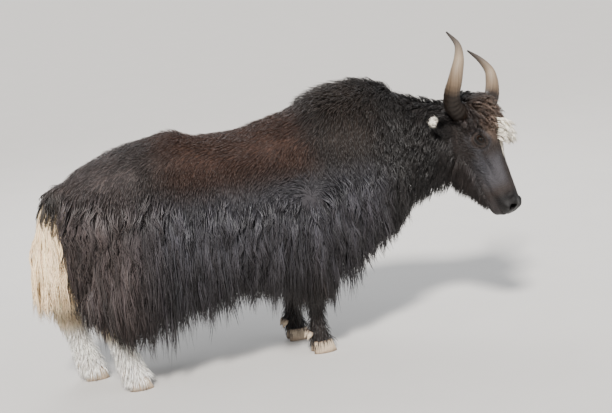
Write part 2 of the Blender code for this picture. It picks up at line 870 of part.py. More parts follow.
def nostril_cutter(side):
    x, y, z = NOSTRIL_PLACE
    turn = Matrix.Translation(Vector((x, side * y, z))) @ Matrix.Rotation(side * math.radians(35), 4, "Z")
    return ball((0, 0, 0), (0.026, 0.011, 0.017), "nostril_cut", frame=HEAD @ turn, segments=12)


def head_core():
    pieces = [skull(), tube(NECK, "neck_end")]
    for side in (-1, 1):
        pieces.append(ball((0.185, side * 0.088, -0.048), (0.050, 0.034, 0.028), "brow", HEAD))
        pieces.append(ball((0.255, side * 0.070, -0.120), (0.080, 0.034, 0.040), "cheek", HEAD))
        pieces.append(ball((0.523, side * 0.038, -0.080), (0.036, 0.030, 0.034), "nostril_wing", HEAD))
        pieces.append(ball((0.050, side * 0.092, -0.085), (0.055, 0.045, 0.055), "horn_seat", HEAD))
    pieces.append(ball((0.500, 0.0, -0.168), (0.050, 0.046, 0.026), "chin", HEAD))
    item = one_skin(pieces, "head", 0.0065, 6, 9000)
    behind = (HEAD_PLANE[0] - HEAD_PLANE[1] * 0.02, HEAD_PLANE[1])
    join(item, "DIFFERENCE", [beyond(behind, -1)])
    thin(item, HEAD_FACES)
    keep_largest(item)
    return item


def finish_head(item):
    join(item, "UNION", [lid_ring(side, "lids") for side in (-1, 1)])
    join(item, "DIFFERENCE", [mouth_cutter(), nostril_cutter(-1), nostril_cutter(1)])


def sockets():
    radius = EYE_RADIUS + GAP
    return [ball(eye_centre(side), (radius,) * 3, "socket", HEAD, segments=12) for side in (-1, 1)]


def eyeball(side, name):
    return ball(eye_centre(side), (EYE_RADIUS,) * 3, name, HEAD, segments=12)


def body_core():
    pieces = [trunk(), tube(NECK, "neck"), skull()]
    for name in FEET:
        pieces.append(leg(name))
    return one_skin(pieces, "body", 0.0125, 14, BODY_FACES)


def part_body(whole):
    """The body's nodes, cut from one skin by thin plane cuts."""
    floor_cut = (Vector((0, 0, LEG_TOP)), Vector((0, 0, 1)))
    hoof_cut = (Vector((0, 0, HOOF_HEIGHT)), Vector((0, 0, 1)))
    middle = (Vector((-0.15, 0, 0)), Vector((1, 0, 0)))
    centre = (Vector((0, 0, 0)), Vector((0, 1, 0)))
    cuts = {
        "neck": ((NECK_PLANE, -1), (HEAD_PLANE, 1)),
        "forequarters": ((FORE_PLANE, -1), (NECK_PLANE, 1), (floor_cut, -1)),
        "barrel": ((HIND_PLANE, -1), (FORE_PLANE, 1), (floor_cut, -1)),
        "hindquarters": ((HIND_PLANE, 1), (floor_cut, -1)),
    }
    for name in FEET:
        end = -1 if "fore" in name else 1
        side = 1 if "right" in name else -1
        cuts["leg_" + name] = ((middle, end), (centre, side), (floor_cut, 1), (hoof_cut, -1))
    nodes = {}
    for name, planes in cuts.items():
        item = copy_of(whole, name)
        for plane, side in planes:
            join(item, "DIFFERENCE", [beyond(plane, side)])
        nodes[name] = item
    bpy.data.objects.remove(whole)
    return nodes


def dock():
    rows = [(x, 0.0, z, half, depth) for x, z, half, depth in DOCK]
    return tube(rows, "tail", sides=14, steps=2)


def nearby(nodes, names, amount=0.0004):
    return [swollen(nodes[name], amount, "near") for name in names]


def clothe(nodes, trunk_tree):
    """The locks are made, sorted to the nodes that they grow from, and fused."""
    draw = random.Random(COAT_SEED)
    groups = {name: [] for name in ("hindquarters", "barrel", "forequarters")}
    for x, item in skirt_locks(trunk_tree, draw) + crest_locks(trunk_tree, draw):
        if x < HIND_PLANE[0].x:
            groups["hindquarters"].append(item)
        elif x < FORE_PLANE[0].x:
            groups["barrel"].append(item)
        else:
            groups["forequarters"].append(item)
    groups["neck"] = neck_locks(surface_of(nodes["neck"]), draw)
    groups["head"] = head_locks(surface_of(nodes["head"]), draw)
    groups["tail"] = tail_locks(surface_of(nodes["tail"]), draw)
    for name, locks in groups.items():
        join(nodes[name], "UNION", locks)
        thin(nodes[name], COAT_FACES[name])


def build():
    clear_scene()
    whole = body_core()
    trunk_tree = surface_of(whole)
    nodes = part_body(whole)
    nodes["head"] = head_core()
    finish_head(nodes["head"])
    nodes["tail"] = dock()
    join(nodes["tail"], "DIFFERENCE", nearby(nodes, ["hindquarters"]))
    clothe(nodes, trunk_tree)
    for name, planes in TRUNK_CUTS.items():
        for plane, side in planes:
            join(nodes[name], "DIFFERENCE", [beyond(plane, side)])
    join(nodes["head"], "DIFFERENCE", sockets())
    join(nodes["hindquarters"], "DIFFERENCE", nearby(nodes, ["leg_hind_right", "leg_hind_left"]))
    join(nodes["forequarters"], "DIFFERENCE", nearby(nodes, ["leg_fore_right", "leg_fore_left"]))
    join(nodes["tail"], "DIFFERENCE", nearby(nodes, ["hindquarters", "leg_hind_right", "leg_hind_left"]))
    draw = random.Random(COAT_SEED)
    for side, word in ((-1, "right"), (1, "left")):
        nodes["eye_" + word] = eyeball(side, "eye_" + word)
        nodes["horn_" + word] = horn(HORN_RIGHT if side < 0 else HORN_LEFT, "horn_" + word)
        join(nodes["horn_" + word], "DIFFERENCE", nearby(nodes, ["head", "neck"]))
        pinna = ear(side, "ear_" + word)
        join(pinna, "UNION", ear_locks(surface_of(pinna), side, draw))
        join(pinna, "DIFFERENCE", nearby(nodes, ["head", "neck", "horn_" + word]))
        nodes["ear_" + word] = pinna
    for name, (shape, foot_x, foot_y) in FEET.items():
        for side, word in ((-1, "outer"), (1, "inner")):
            place = side if foot_y > 0 else -side
            label = "claw_%s_%s" % (name, word)
            nodes[label] = hoof_claw(foot_x, foot_y, -place, label)
    for item in nodes.values():
        item.data.transform(Matrix.Translation(BODY_SHIFT))
        item.data.materials.clear()
        item.data.materials.append(material(item.name, *look_of(item.name)))
        item.data.shade_smooth()
        item.data.set_sharp_from_angle(angle=SMOOTH_ANGLE)


build()
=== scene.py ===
# A standing yak bull at life size: one hide, a combed coat of solid strands, eyes, horns and hooves.
import json
import math

import bpy
import numpy as np
from mathutils import Matrix, Vector
from mathutils.bvhtree import BVHTree
from mathutils.kdtree import KDTree

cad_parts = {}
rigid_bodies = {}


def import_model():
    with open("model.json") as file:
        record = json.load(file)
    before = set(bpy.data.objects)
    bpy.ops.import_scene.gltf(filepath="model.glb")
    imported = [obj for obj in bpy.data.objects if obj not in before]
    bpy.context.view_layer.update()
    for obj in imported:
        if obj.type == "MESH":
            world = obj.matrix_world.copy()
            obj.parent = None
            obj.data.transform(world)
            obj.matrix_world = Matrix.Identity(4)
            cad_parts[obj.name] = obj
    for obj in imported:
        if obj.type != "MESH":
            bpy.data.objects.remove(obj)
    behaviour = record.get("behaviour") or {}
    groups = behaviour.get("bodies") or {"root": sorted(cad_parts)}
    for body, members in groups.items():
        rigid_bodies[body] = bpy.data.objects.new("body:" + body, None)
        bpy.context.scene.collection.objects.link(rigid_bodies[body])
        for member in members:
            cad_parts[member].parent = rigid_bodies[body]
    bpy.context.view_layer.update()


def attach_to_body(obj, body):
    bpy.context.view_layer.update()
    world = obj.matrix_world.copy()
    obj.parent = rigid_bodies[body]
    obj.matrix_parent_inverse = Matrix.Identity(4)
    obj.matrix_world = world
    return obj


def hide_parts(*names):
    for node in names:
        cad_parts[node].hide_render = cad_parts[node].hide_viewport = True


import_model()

# Everything is shaped in the animal's own coordinates and moved by this at the end.
bodyShift = np.array((-0.2, 0.004, 0.0))
chance = np.random.default_rng(11)
bothSides = ((-1, "right"), (1, "left"))

trunk = {
    # x, top, bottom, half width, height of the widest line
    "rings": (
        (-0.8, 0.9, 0.66, 0.07, 0.8),
        (-0.745, 0.975, 0.58, 0.15, 0.8),
        (-0.65, 1.035, 0.52, 0.215, 0.77),
        (-0.5, 1.08, 0.49, 0.255, 0.73),
        (-0.35, 1.114, 0.475, 0.275, 0.7),
        (-0.25, 1.119, 0.465, 0.288, 0.69),
        (-0.15, 1.08, 0.46, 0.298, 0.68),
        (0.0, 1.082, 0.46, 0.302, 0.68),
        (0.15, 1.098, 0.46, 0.298, 0.68),
        (0.3, 1.138, 0.465, 0.282, 0.7),
        (0.42, 1.19, 0.47, 0.262, 0.73),
        (0.55, 1.222, 0.48, 0.24, 0.76),
        (0.65, 1.222, 0.5, 0.215, 0.79),
        (0.75, 1.192, 0.53, 0.185, 0.82),
        (0.83, 1.15, 0.57, 0.15, 0.85),
    ),
    "upperLean": 1.22,
    "lowerLean": 0.8,
    "sides": 44,
    "voxel": 0.0105,
    "smoothing": 20,
    "coatDepth": 0.006,
    "legCoatDepth": 0.002,
    "legLine": (0.4, 0.55),  # heights where the coat's depth changes
}
neck = {
    # centre x, y, z, half width, half depth
    "rings": (
        (0.7, 0.0, 0.86, 0.175, 0.285),
        (0.86, -0.005, 0.87, 0.15, 0.24),
        (0.98, -0.035, 0.878, 0.13, 0.195),
        (1.07, -0.085, 0.885, 0.115, 0.16),
        (1.12, -0.11, 0.89, 0.09, 0.12),
    ),
    "sides": 40,
    "coatDepth": 0.005,
    "headPoint": np.array((1.035, -0.1, 0.88)),
    "headWay": np.array((0.93, -0.36, -0.05)),
    # Where the finer neck joins the body: from x, to x, above z.
    "seam": (0.72, 0.94, 0.5),
    "seamSmoothing": 10,
}
# The head's own frame: x down the face from the poll, y to its left, z out of the face.
headPose = {"origin": np.array((1.218, -0.121, 1.079)), "yaw": -36, "tilt": -14, "pitch": 66}
skull = {
    # x, face height, jaw height, half width, half width of the jaw
    "rings": (
        (-0.03, -0.08, -0.19, 0.07, 0.06),
        (0.01, -0.03, -0.24, 0.104, 0.08),
        (0.06, 0.002, -0.27, 0.117, 0.085),
        (0.125, 0.016, -0.285, 0.119, 0.084),
        (0.19, 0.012, -0.29, 0.117, 0.082),
        (0.25, -0.006, -0.28, 0.102, 0.074),
        (0.31, -0.026, -0.258, 0.084, 0.062),
        (0.37, -0.034, -0.236, 0.072, 0.054),
        (0.43, -0.04, -0.216, 0.067, 0.05),
        (0.48, -0.044, -0.202, 0.068, 0.05),
        (0.52, -0.05, -0.188, 0.069, 0.05),
        (0.548, -0.062, -0.168, 0.06, 0.044),
        (0.564, -0.085, -0.142, 0.04, 0.03),
    ),
    "widest": 0.4,  # share of the way down from face to jaw
    "jawCurve": 0.8,
    "sideCurve": 0.75,
    "roofCurve": 0.9,
    "coatDepth": 0.0015,
    "sides": 44,
    "voxel": 0.0042,
    "smoothing": 13,
    # Swellings added before the smoothing: place, radii.
    "swellings": (
        ((0.185, 0.088, -0.048), (0.05, 0.034, 0.028)),
        ((0.255, 0.07, -0.12), (0.08, 0.034, 0.04)),
        ((0.523, 0.038, -0.08), (0.036, 0.03, 0.034)),
        ((0.05, 0.092, -0.085), (0.055, 0.045, 0.055)),
    ),
    "chin": ((0.5, 0.0, -0.168), (0.05, 0.046, 0.026)),
    "strokeDepth": 1.6,
    # Strokes of the modelling tool on both sides: place, reach, height.
    "strokes": (
        ((0.248, 0.104, -0.062), (0.024, 0.03, 0.016), -0.006),
        ((0.15, 0.104, -0.056), (0.026, 0.03, 0.012), 0.006),
        ((0.176, 0.104, -0.034), (0.034, 0.03, 0.009), 0.005),
        ((0.262, 0.098, -0.104), (0.04, 0.03, 0.009), 0.005),
        ((0.3, 0.08, -0.078), (0.045, 0.03, 0.01), 0.004),
        ((0.32, 0.08, -0.1), (0.05, 0.03, 0.008), -0.005),
        ((0.15, 0.112, -0.085), (0.034, 0.03, 0.034), -0.006),
        ((0.19, 0.095, -0.03), (0.045, 0.028, 0.02), 0.004),
        ((0.3, 0.084, -0.128), (0.06, 0.03, 0.014), 0.006),
        ((0.345, 0.07, -0.088), (0.05, 0.03, 0.022), -0.007),
        ((0.185, 0.09, -0.2), (0.075, 0.04, 0.05), 0.007),
        ((0.325, 0.062, -0.196), (0.045, 0.03, 0.026), -0.006),
        ((0.41, 0.052, -0.15), (0.06, 0.03, 0.012), -0.004),
        ((0.505, 0.062, -0.118), (0.034, 0.024, 0.018), 0.005),
        ((0.49, 0.062, -0.07), (0.016, 0.024, 0.02), -0.006),
        ((0.512, 0.058, -0.058), (0.018, 0.022, 0.012), 0.006),
        ((0.538, 0.062, -0.1), (0.014, 0.02, 0.01), 0.005),
        ((0.555, 0.0, -0.085), (0.03, 0.007, 0.04), -0.004),
        ((0.515, 0.03, -0.176), (0.028, 0.03, 0.014), 0.004),
        ((0.4, 0.0, -0.036), (0.11, 0.016, 0.02), 0.003),
    ),
    "mouth": {
        "x": 0.478, "half": 0.098, "wide": 0.084, "z": -0.136, "sag": 0.028, "deep": 0.04,
        "lip": 0.0062, "turn": 108, "steps": 33,
    },
    "nostril": {"place": (0.541, 0.046, -0.082), "radii": (0.027, 0.015, 0.02), "turn": 40},
    "fineVoxel": 0.0032,
    "fineSmoothing": 3,
}
eyes = {
    "place": (0.205, 0.1015, -0.075),
    "radius": 0.0245,
    "bulge": 0.05,
    "socketGap": 0.0004,
    "aim": (0.1, 0.95, 0.26),
    "tilt": 0.28,
    # Each lid ring: half width, half height, thickness, how far out, and how flat on the ball.
    "lids": (
        (0.0265, 0.017, 0.005, 0.019, 0.34),
        (0.0365, 0.03, 0.0062, 0.0105, 0.26),
    ),
    "upperLid": 1.2,  # thicker than the lower
    "lowerOpening": 0.88,
    "lidFlat": 0.92,
    "lidSteps": 40,
    "lidSides": 10,
}
ears = {
    "root": (0.098, 0.085, -0.16),
    "aim": (-0.22, 0.88, -0.3),
    "opening": (0.6, 0.25, 0.55),
    "length": 0.15,
    # share of the length, half width
    "sizes": ((0.0, 0.024), (0.2, 0.03), (0.42, 0.04), (0.62, 0.04), (0.8, 0.029), (0.94, 0.013)),
    "thick": 0.009,
    "bulge": 0.85,
    "innerWidth": 0.84,
    "hollowFrom": 0.1,
    "sides": 15,
}
legs = {
    # from the foot: x, y outward, z, half width, half length
    "fore": (
        (0.06, 0.06, 0.78, 0.07, 0.13),
        (-0.005, 0.055, 0.6, 0.075, 0.105),
        (0.0, 0.04, 0.47, 0.062, 0.078),
        (0.008, 0.02, 0.38, 0.05, 0.058),
        (0.01, 0.01, 0.3, 0.045, 0.052),
        (0.004, 0.006, 0.23, 0.034, 0.038),
        (0.0, 0.002, 0.16, 0.032, 0.036),
        (-0.002, 0.0, 0.105, 0.041, 0.046),
        (0.006, 0.0, 0.075, 0.04, 0.042),
        (0.01, 0.0, 0.045, 0.047, 0.05),
    ),
    "hind": (
        (0.08, 0.0, 0.8, 0.085, 0.17),
        (0.07, 0.015, 0.64, 0.085, 0.15),
        (0.0, 0.022, 0.52, 0.066, 0.105),
        (-0.07, 0.016, 0.43, 0.048, 0.068),
        (-0.085, 0.008, 0.37, 0.042, 0.058),
        (-0.062, 0.004, 0.3, 0.036, 0.044),
        (-0.036, 0.002, 0.2, 0.032, 0.036),
        (-0.018, 0.0, 0.12, 0.04, 0.044),
        (-0.002, 0.0, 0.078, 0.04, 0.042),
        (0.006, 0.0, 0.045, 0.047, 0.05),
    ),
    "feet": {
        "fore_right": ("fore", 0.29, -0.14),
        "fore_left": ("fore", 0.25, 0.13),
        "hind_right": ("hind", -0.59, -0.145),
        "hind_left": ("hind", -0.745, 0.135),
    },
}
tailDock = {
    # x, z, half width, half depth
    "rings": (
        (-0.74, 0.925, 0.045, 0.04),
        (-0.8, 0.915, 0.05, 0.042),
        (-0.85, 0.85, 0.05, 0.044),
        (-0.875, 0.74, 0.044, 0.04),
        (-0.885, 0.62, 0.036, 0.034),
        (-0.882, 0.54, 0.022, 0.02),
    ),
}


# Small helpers for arrays of points.
def unit(ways):
    return ways / np.maximum(np.linalg.norm(ways, axis=-1, keepdims=True), 1e-9)


def ramp(values, low, high):
    share = np.clip((values - low) / (high - low), 0.0, 1.0)
    return share * share * (3.0 - 2.0 * share)


def headAxes():
    turn = Matrix.Rotation(math.radians(headPose["yaw"]), 3, "Z")
    turn = turn @ Matrix.Rotation(math.radians(headPose["tilt"]), 3, "X")
    return np.array(turn @ Matrix.Rotation(math.radians(headPose["pitch"]), 3, "Y"))


headTurn = headAxes()
neck["headWay"] = unit(neck["headWay"])


def fromHead(points):
    return np.asarray(points) @ headTurn.T + headPose["origin"]


def toHead(points):
    return (np.asarray(points) - headPose["origin"]) @ headTurn


def sided(place, side):
    return np.array((place[0], side * place[1], place[2]))


def throughRows(table, steps):
    # a smooth curve through the rows of a table
    rows = np.array(table, float)
    padded = np.vstack([2 * rows[0] - rows[1], rows, 2 * rows[-1] - rows[-2]])
    out = []
    for index in range(len(rows) - 1):
        a, b, c, d = padded[index:index + 4]
        for t in np.arange(steps) / steps:
            bend = (2 * a - 5 * b + 4 * c - d) * t**2 + (3 * b - a - 3 * c + d) * t**3
            out.append(0.5 * (2 * b + (c - a) * t + bend))
    out.append(rows[-1])
    return np.array(out)


def shellThrough(rings):
    # a closed shell through rings of equal length
    count, sides = rings.shape[:2]
    points = np.vstack([rings.reshape(-1, 3), rings[0].mean(0), rings[-1].mean(0)])
    faces = []
    last = (count - 1) * sides
    for side in range(sides):
        beside = (side + 1) % sides
        for start in range(0, last, sides):
            faces.append((start + side, start + beside, start + beside + sides, start + side + sides))
        faces.append((beside, side, last + sides))
        faces.append((last + side, last + beside, last + sides + 1))
    return points, faces


def tubeRings(rows, sides=24, steps=3, sideways=(0.0, 1.0, 0.0), thinnest=0.003):
    path = throughRows(rows, steps)
    centres = path[:, :3]
    sideways = np.array(sideways)
    along = unit(np.gradient(centres, axis=0))
    across = unit(sideways - along * (along @ sideways)[:, None])
    deep = np.cross(along, across)
    angles = math.tau * np.arange(sides) / sides
    half = np.maximum(path[:, 3, None, None], thinnest) * np.sin(angles)[None, :, None]
    depth = np.maximum(path[:, 4, None, None], thinnest) * np.cos(angles)[None, :, None]
    return centres[:, None] + across[:, None] * half + deep[:, None] * depth


def ballShell(centre, radii, turn=None, sides=20):
    poleGap = 0.06
    heights = np.cos(np.linspace(poleGap, math.pi - poleGap, sides // 2))
    angles = math.tau * np.arange(sides) / sides
    wide = np.sqrt(1 - heights**2)[:, None]
    up = heights[:, None] * np.ones(sides)
    rings = np.stack([wide * np.cos(angles), wide * np.sin(angles), up], axis=-1) * np.array(radii)
    if turn is not None:
        rings = rings @ turn.T
    return shellThrough(rings + np.array(centre))


def trunkRings():
    rows = throughRows(trunk["rings"], 3)
    angles = math.tau * np.arange(trunk["sides"]) / trunk["sides"]
    up = np.cos(angles)
    out = np.sin(angles)
    x, top, low, half, wide = [column[:, None] for column in rows.T]
    reach = np.where(up > 0, top - wide, wide - low)
    lean = np.where(up > 0, trunk["upperLean"], trunk["lowerLean"])
    y = half * np.sign(out) * np.abs(out) ** lean
    return np.stack([x + 0 * y, y, wide + reach * up], axis=-1)


def skullRings():
    rows = throughRows(skull["rings"], 4)
    angles = math.tau * np.arange(skull["sides"]) / skull["sides"]
    up = np.cos(angles)
    out = np.sin(angles)
    x, face, jaw, half, jawHalf = [column[:, None] for column in rows.T]
    wide = face + (jaw - face) * skull["widest"]
    reach = np.where(up > 0, face - wide, wide - jaw)
    width = np.where(up > 0, half, half + (jawHalf - half) * np.clip(-up, 0, 1) ** skull["jawCurve"])
    y = width * np.sign(out) * np.abs(out) ** skull["sideCurve"]
    z = wide + reach * np.sign(up) * np.abs(up) ** skull["roofCurve"]
    return fromHead(np.stack([x + 0 * y, y, z], axis=-1))


def legRings(name):
    shape, footX, footY = legs["feet"][name]
    side = math.copysign(1.0, footY)
    rows = [(footX + x, footY + side * y, z, half, deep) for x, y, z, half, deep in legs[shape]]
    return tubeRings(rows)


# Blender steps on whole objects.
def linked(name, data):
    item = bpy.data.objects.new(name, data)
    bpy.context.scene.collection.objects.link(item)
    return item


def newObject(name, points, faces):
    mesh = bpy.data.meshes.new(name)
    mesh.from_pydata(np.asarray(points).tolist(), [], [tuple(face) for face in faces])
    mesh.update()
    return linked(name, mesh)


def settle(item):
    # the modifiers become the mesh
    graph = bpy.context.evaluated_depsgraph_get()
    mesh = bpy.data.meshes.new_from_object(item.evaluated_get(graph))
    item.modifiers.clear()
    old = item.data
    item.data = mesh
    bpy.data.meshes.remove(old)


def pointsOf(item):
    points = np.empty(len(item.data.vertices) * 3)
    item.data.vertices.foreach_get("co", points)
    return points.reshape(-1, 3)


def normalsOf(item):
    ways = np.empty(len(item.data.vertices) * 3, np.float32)
    item.data.vertices.foreach_get("normal", ways)
    return ways.reshape(-1, 3).astype(float)


def movePoints(item, points):
    item.data.vertices.foreach_set("co", np.ascontiguousarray(points, np.float32).ravel())
    item.data.update()


def shellOf(item):
    points = pointsOf(item)
    faces = [tuple(face.vertices) for face in item.data.polygons]
    bpy.data.objects.remove(item)
    return points, faces


def oneSkin(name, shells, voxel, smoothing):
    points = []
    faces = []
    start = 0
    for shellPoints, shellFaces in shells:
        points.append(shellPoints)
        faces += [tuple(corner + start for corner in face) for face in shellFaces]
        start += len(shellPoints)
    item = newObject(name, np.vstack(points), faces)
    remesh = item.modifiers.new("oneSkin", "REMESH")
    remesh.mode = "VOXEL"
    remesh.voxel_size = voxel
    relax = item.modifiers.new("relax", "SMOOTH")
    relax.factor = 0.5
    relax.iterations = smoothing
    settle(item)
    return item


def carve(item, shells, operation="DIFFERENCE"):
    tools = bpy.data.collections.new("tools")
    for points, faces in shells:
        tool = newObject("tool", points, faces)
        bpy.context.scene.collection.objects.unlink(tool)
        tools.objects.link(tool)
    step = item.modifiers.new("carve", "BOOLEAN")
    step.operation = operation
    step.operand_type = "COLLECTION"
    step.collection = tools
    step.solver = "MANIFOLD"
    settle(item)
    for tool in list(tools.objects):
        bpy.data.objects.remove(tool)
    bpy.data.collections.remove(tools)


def facingOut(shell):
    # turns a shell's faces outward where they point in
    points, faces = shell
    total = 0.0
    for face in faces:
        a = points[face[0]]
        for index in range(1, len(face) - 1):
            total += a @ np.cross(points[face[index]], points[face[index + 1]])
    return (points, faces) if total > 0 else (points, [tuple(reversed(face)) for face in faces])


# The hide: body and head made apart, since the head is finer, and then joined.
def eyeAxes(side):
    # the eye's middle, then the ways out of it, along the face and up to the brow
    outward = unit(sided(eyes["aim"], side))
    along = unit(np.array((1.0, 0.0, 0.0)) - outward * outward[0])
    along = unit(along + np.array((0.0, 0.0, eyes["tilt"])))
    rise = np.cross(outward, along)
    return sided(eyes["place"], side), outward, along, rise * math.copysign(1.0, rise[2])


def lidShell(side, lid):
    # a rim round the eye: the upper half is thicker and hangs a little over the ball
    wide, high, lidThick, reach, drop = lid
    centre, outward, along, rise = eyeAxes(side)
    steps = eyes["lidSteps"]
    sides = eyes["lidSides"]
    flat = eyes["lidFlat"]
    points = []
    for angle in math.tau * np.arange(steps) / steps:
        aside = wide * math.cos(angle)
        height = high * math.sin(angle) * (1.0 if math.sin(angle) > 0 else eyes["lowerOpening"])
        middle = centre + along * aside + rise * height + outward * (reach - drop * abs(aside))
        out = unit(along * math.cos(angle) + rise * math.sin(angle))
        thick = lidThick * (eyes["upperLid"] if math.sin(angle) > 0.3 else 1.0)
        for way in math.tau * np.arange(sides) / sides:
            points.append(middle + out * thick * math.cos(way) + outward * thick * flat * math.sin(way))
    faces = []
    for step in range(steps):
        here = step * sides
        ahead = (step + 1) % steps * sides
        for turn in range(sides):
            beside = (turn + 1) % sides
            faces.append((here + turn, here + beside, ahead + beside, ahead + turn))
    return fromHead(np.array(points)), faces


def earAxes(side):
    root = sided(ears["root"], side)
    aim = unit(sided(ears["aim"], side))
    opening = sided(ears["opening"], side)
    opening = unit(opening - aim * (opening @ aim))
    return root, aim, unit(np.cross(aim, opening)), opening


def earShell(side):
    # rings that go out round the back of the ear and come home through its hollow
    root, aim, across, opening = earAxes(side)
    rings = []
    for share, half in throughRows(ears["sizes"], 4):
        centre = root + aim * (ears["length"] * share)
        hollow = min(1.0, max(0.0, share - ears["hollowFrom"]) * 5)
        ring = []
        for angle in np.linspace(0, math.pi, ears["sides"]):
            back = ears["bulge"] * half * math.sin(angle)
            ring.append(centre + across * (half * math.cos(angle)) - opening * back)
        for angle in np.linspace(math.pi, 0, ears["sides"])[1:-1]:
            back = max(ears["bulge"] * half * math.sin(angle) - ears["thick"], 0.0) * hollow
            ring.append(centre + across * (ears["innerWidth"] * half * math.cos(angle)) - opening * back)
        rings.append(ring)
    return shellThrough(fromHead(np.array(rings)))


def mouthShell():
    mouth = skull["mouth"]
    rings = []
    lip = np.array((0.0, 0.0, mouth["lip"]))
    for angle in np.radians(np.linspace(-mouth["turn"], mouth["turn"], mouth["steps"])):
        rim = np.array((
            mouth["x"] + mouth["half"] * math.cos(angle),
            mouth["wide"] * math.sin(angle),
            mouth["z"] - mouth["sag"] * (1 - math.cos(angle)),
        ))
        back = np.array((-math.cos(angle), -math.sin(angle), 0.0))
        rings.append([rim + lip, rim + back * mouth["deep"], rim - lip])
    return shellThrough(fromHead(np.array(rings)))


def nostrilShell(side):
    nostril = skull["nostril"]
    turn = headTurn @ np.array(Matrix.Rotation(side * math.radians(nostril["turn"]), 3, "Z"))
    return ballShell(fromHead(sided(nostril["place"], side)), nostril["radii"], turn)


def modelHead():
    shells = [shellThrough(skullRings()), shellThrough(tubeRings(neck["rings"], neck["sides"]))]
    for side in (-1, 1):
        for place, radii in skull["swellings"]:
            shells.append(ballShell(fromHead(sided(place, side)), radii, headTurn))
    chinPlace, chinRadii = skull["chin"]
    shells.append(ballShell(fromHead(chinPlace), chinRadii, headTurn))
    head = oneSkin("head", shells, skull["voxel"], skull["smoothing"])
    places = toHead(pointsOf(head))
    height = np.zeros(len(places))
    for place, reach, amount in skull["strokes"]:
        for side in (-1, 1) if place[1] else (1,):
            far = (places - sided(place, side)) / np.array(reach)
            height += skull["strokeDepth"] * amount * np.exp(-(far**2).sum(1))
    height -= skull["coatDepth"]
    movePoints(head, pointsOf(head) + normalsOf(head) * height[:, None])
    cuts = [mouthShell(), nostrilShell(-1), nostrilShell(1)]
    carve(head, [facingOut(cut) for cut in cuts])
    shells = [shellOf(head), earShell(-1), earShell(1)]
    for side in (-1, 1):
        shells += [lidShell(side, lid) for lid in eyes["lids"]]
    head = oneSkin("head", shells, skull["fineVoxel"], skull["fineSmoothing"])
    sockets = []
    for side in (-1, 1):
        radius = eyes["radius"] + eyes["socketGap"]
        sockets.append(ballShell(fromHead(sided(eyes["place"], side)), (radius,) * 3, sides=48))
    carve(head, [facingOut(socket) for socket in sockets])
    return head


def modelHide():
    skin = neck["coatDepth"]
    slim = [(x, y, z, half - skin, deep - skin) for x, y, z, half, deep in neck["rings"]]
    dockRows = [(x, 0.0, z, half, deep) for x, z, half, deep in tailDock["rings"]]
    shells = [shellThrough(trunkRings()), shellThrough(tubeRings(slim)), shellThrough(tubeRings(dockRows))]
    for name in legs["feet"]:
        shells.append(shellThrough(legRings(name)))
    hide = oneSkin("hide", shells, trunk["voxel"], trunk["smoothing"])
    points = pointsOf(hide)
    above = ramp(points[:, 2], *trunk["legLine"])
    depth = trunk["legCoatDepth"] + (trunk["coatDepth"] - trunk["legCoatDepth"]) * above
    movePoints(hide, points - normalsOf(hide) * depth[:, None])
    carve(hide, [shellOf(modelHead())], "UNION")
    # The step where the finer neck meets the body is smoothed away.
    points = pointsOf(hide)
    seam = hide.vertex_groups.new(name="seam")
    seamStart, seamEnd, seamLow = neck["seam"]
    x, y, z = points.T
    near = np.flatnonzero((x > seamStart) & (x < seamEnd) & (z > seamLow))
    seam.add(near.tolist(), 1.0, "ADD")
    relax = hide.modifiers.new("relax", "SMOOTH")
    relax.factor = 0.5
    relax.iterations = neck["seamSmoothing"]
    relax.vertex_group = "seam"
    settle(hide)
    hide.data.shade_smooth()
    return hide


hide = modelHide()
hideTree = BVHTree.FromPolygons(
    [tuple(point) for point in pointsOf(hide)], [tuple(face.vertices) for face in hide.data.polygons]
)
print("hide modelled:", len(hide.data.polygons), "faces")


# Colours by place, shared by the hide and every strand. Each is the photo's own shade.
def shade(red, green, blue):
    levels = np.array((red, green, blue)) / 255.0
    return np.where(levels <= 0.04045, levels / 12.92, ((levels + 0.055) / 1.055) ** 2.4)


tones = {
    "black": shade(40, 36, 35),
    "nape": shade(25, 22, 21),
    # the coat's blue-black, lightened with painted sheen
    "flank": shade(52, 51, 55),
    "saddle": shade(54, 36, 28),
    "hump": shade(36, 29, 25),
    "rump": shade(65, 58, 57),
    "face": shade(40, 34, 32),
    "grizzle": shade(112, 95, 83),
    "blaze": shade(238, 232, 218),
    "muzzle": shade(15, 13, 13),
    "lip": shade(50, 46, 46),
    "eyeRim": shade(14, 11, 10),
    "lid": shade(46, 39, 36),
    "tail": shade(252, 228, 190),
    "tailRoot": shade(44, 39, 37),
    "sock": shade(252, 250, 244),
    # painted sheen, laid on the lower cheek and along its folds
    "sheen": shade(68, 68, 73),
    # painted shadow of the skirt's hair on the white socks
    "sockTop": shade(232, 214, 184),
    "earTip": shade(246, 240, 228),
    "shin": shade(41, 37, 36),
}
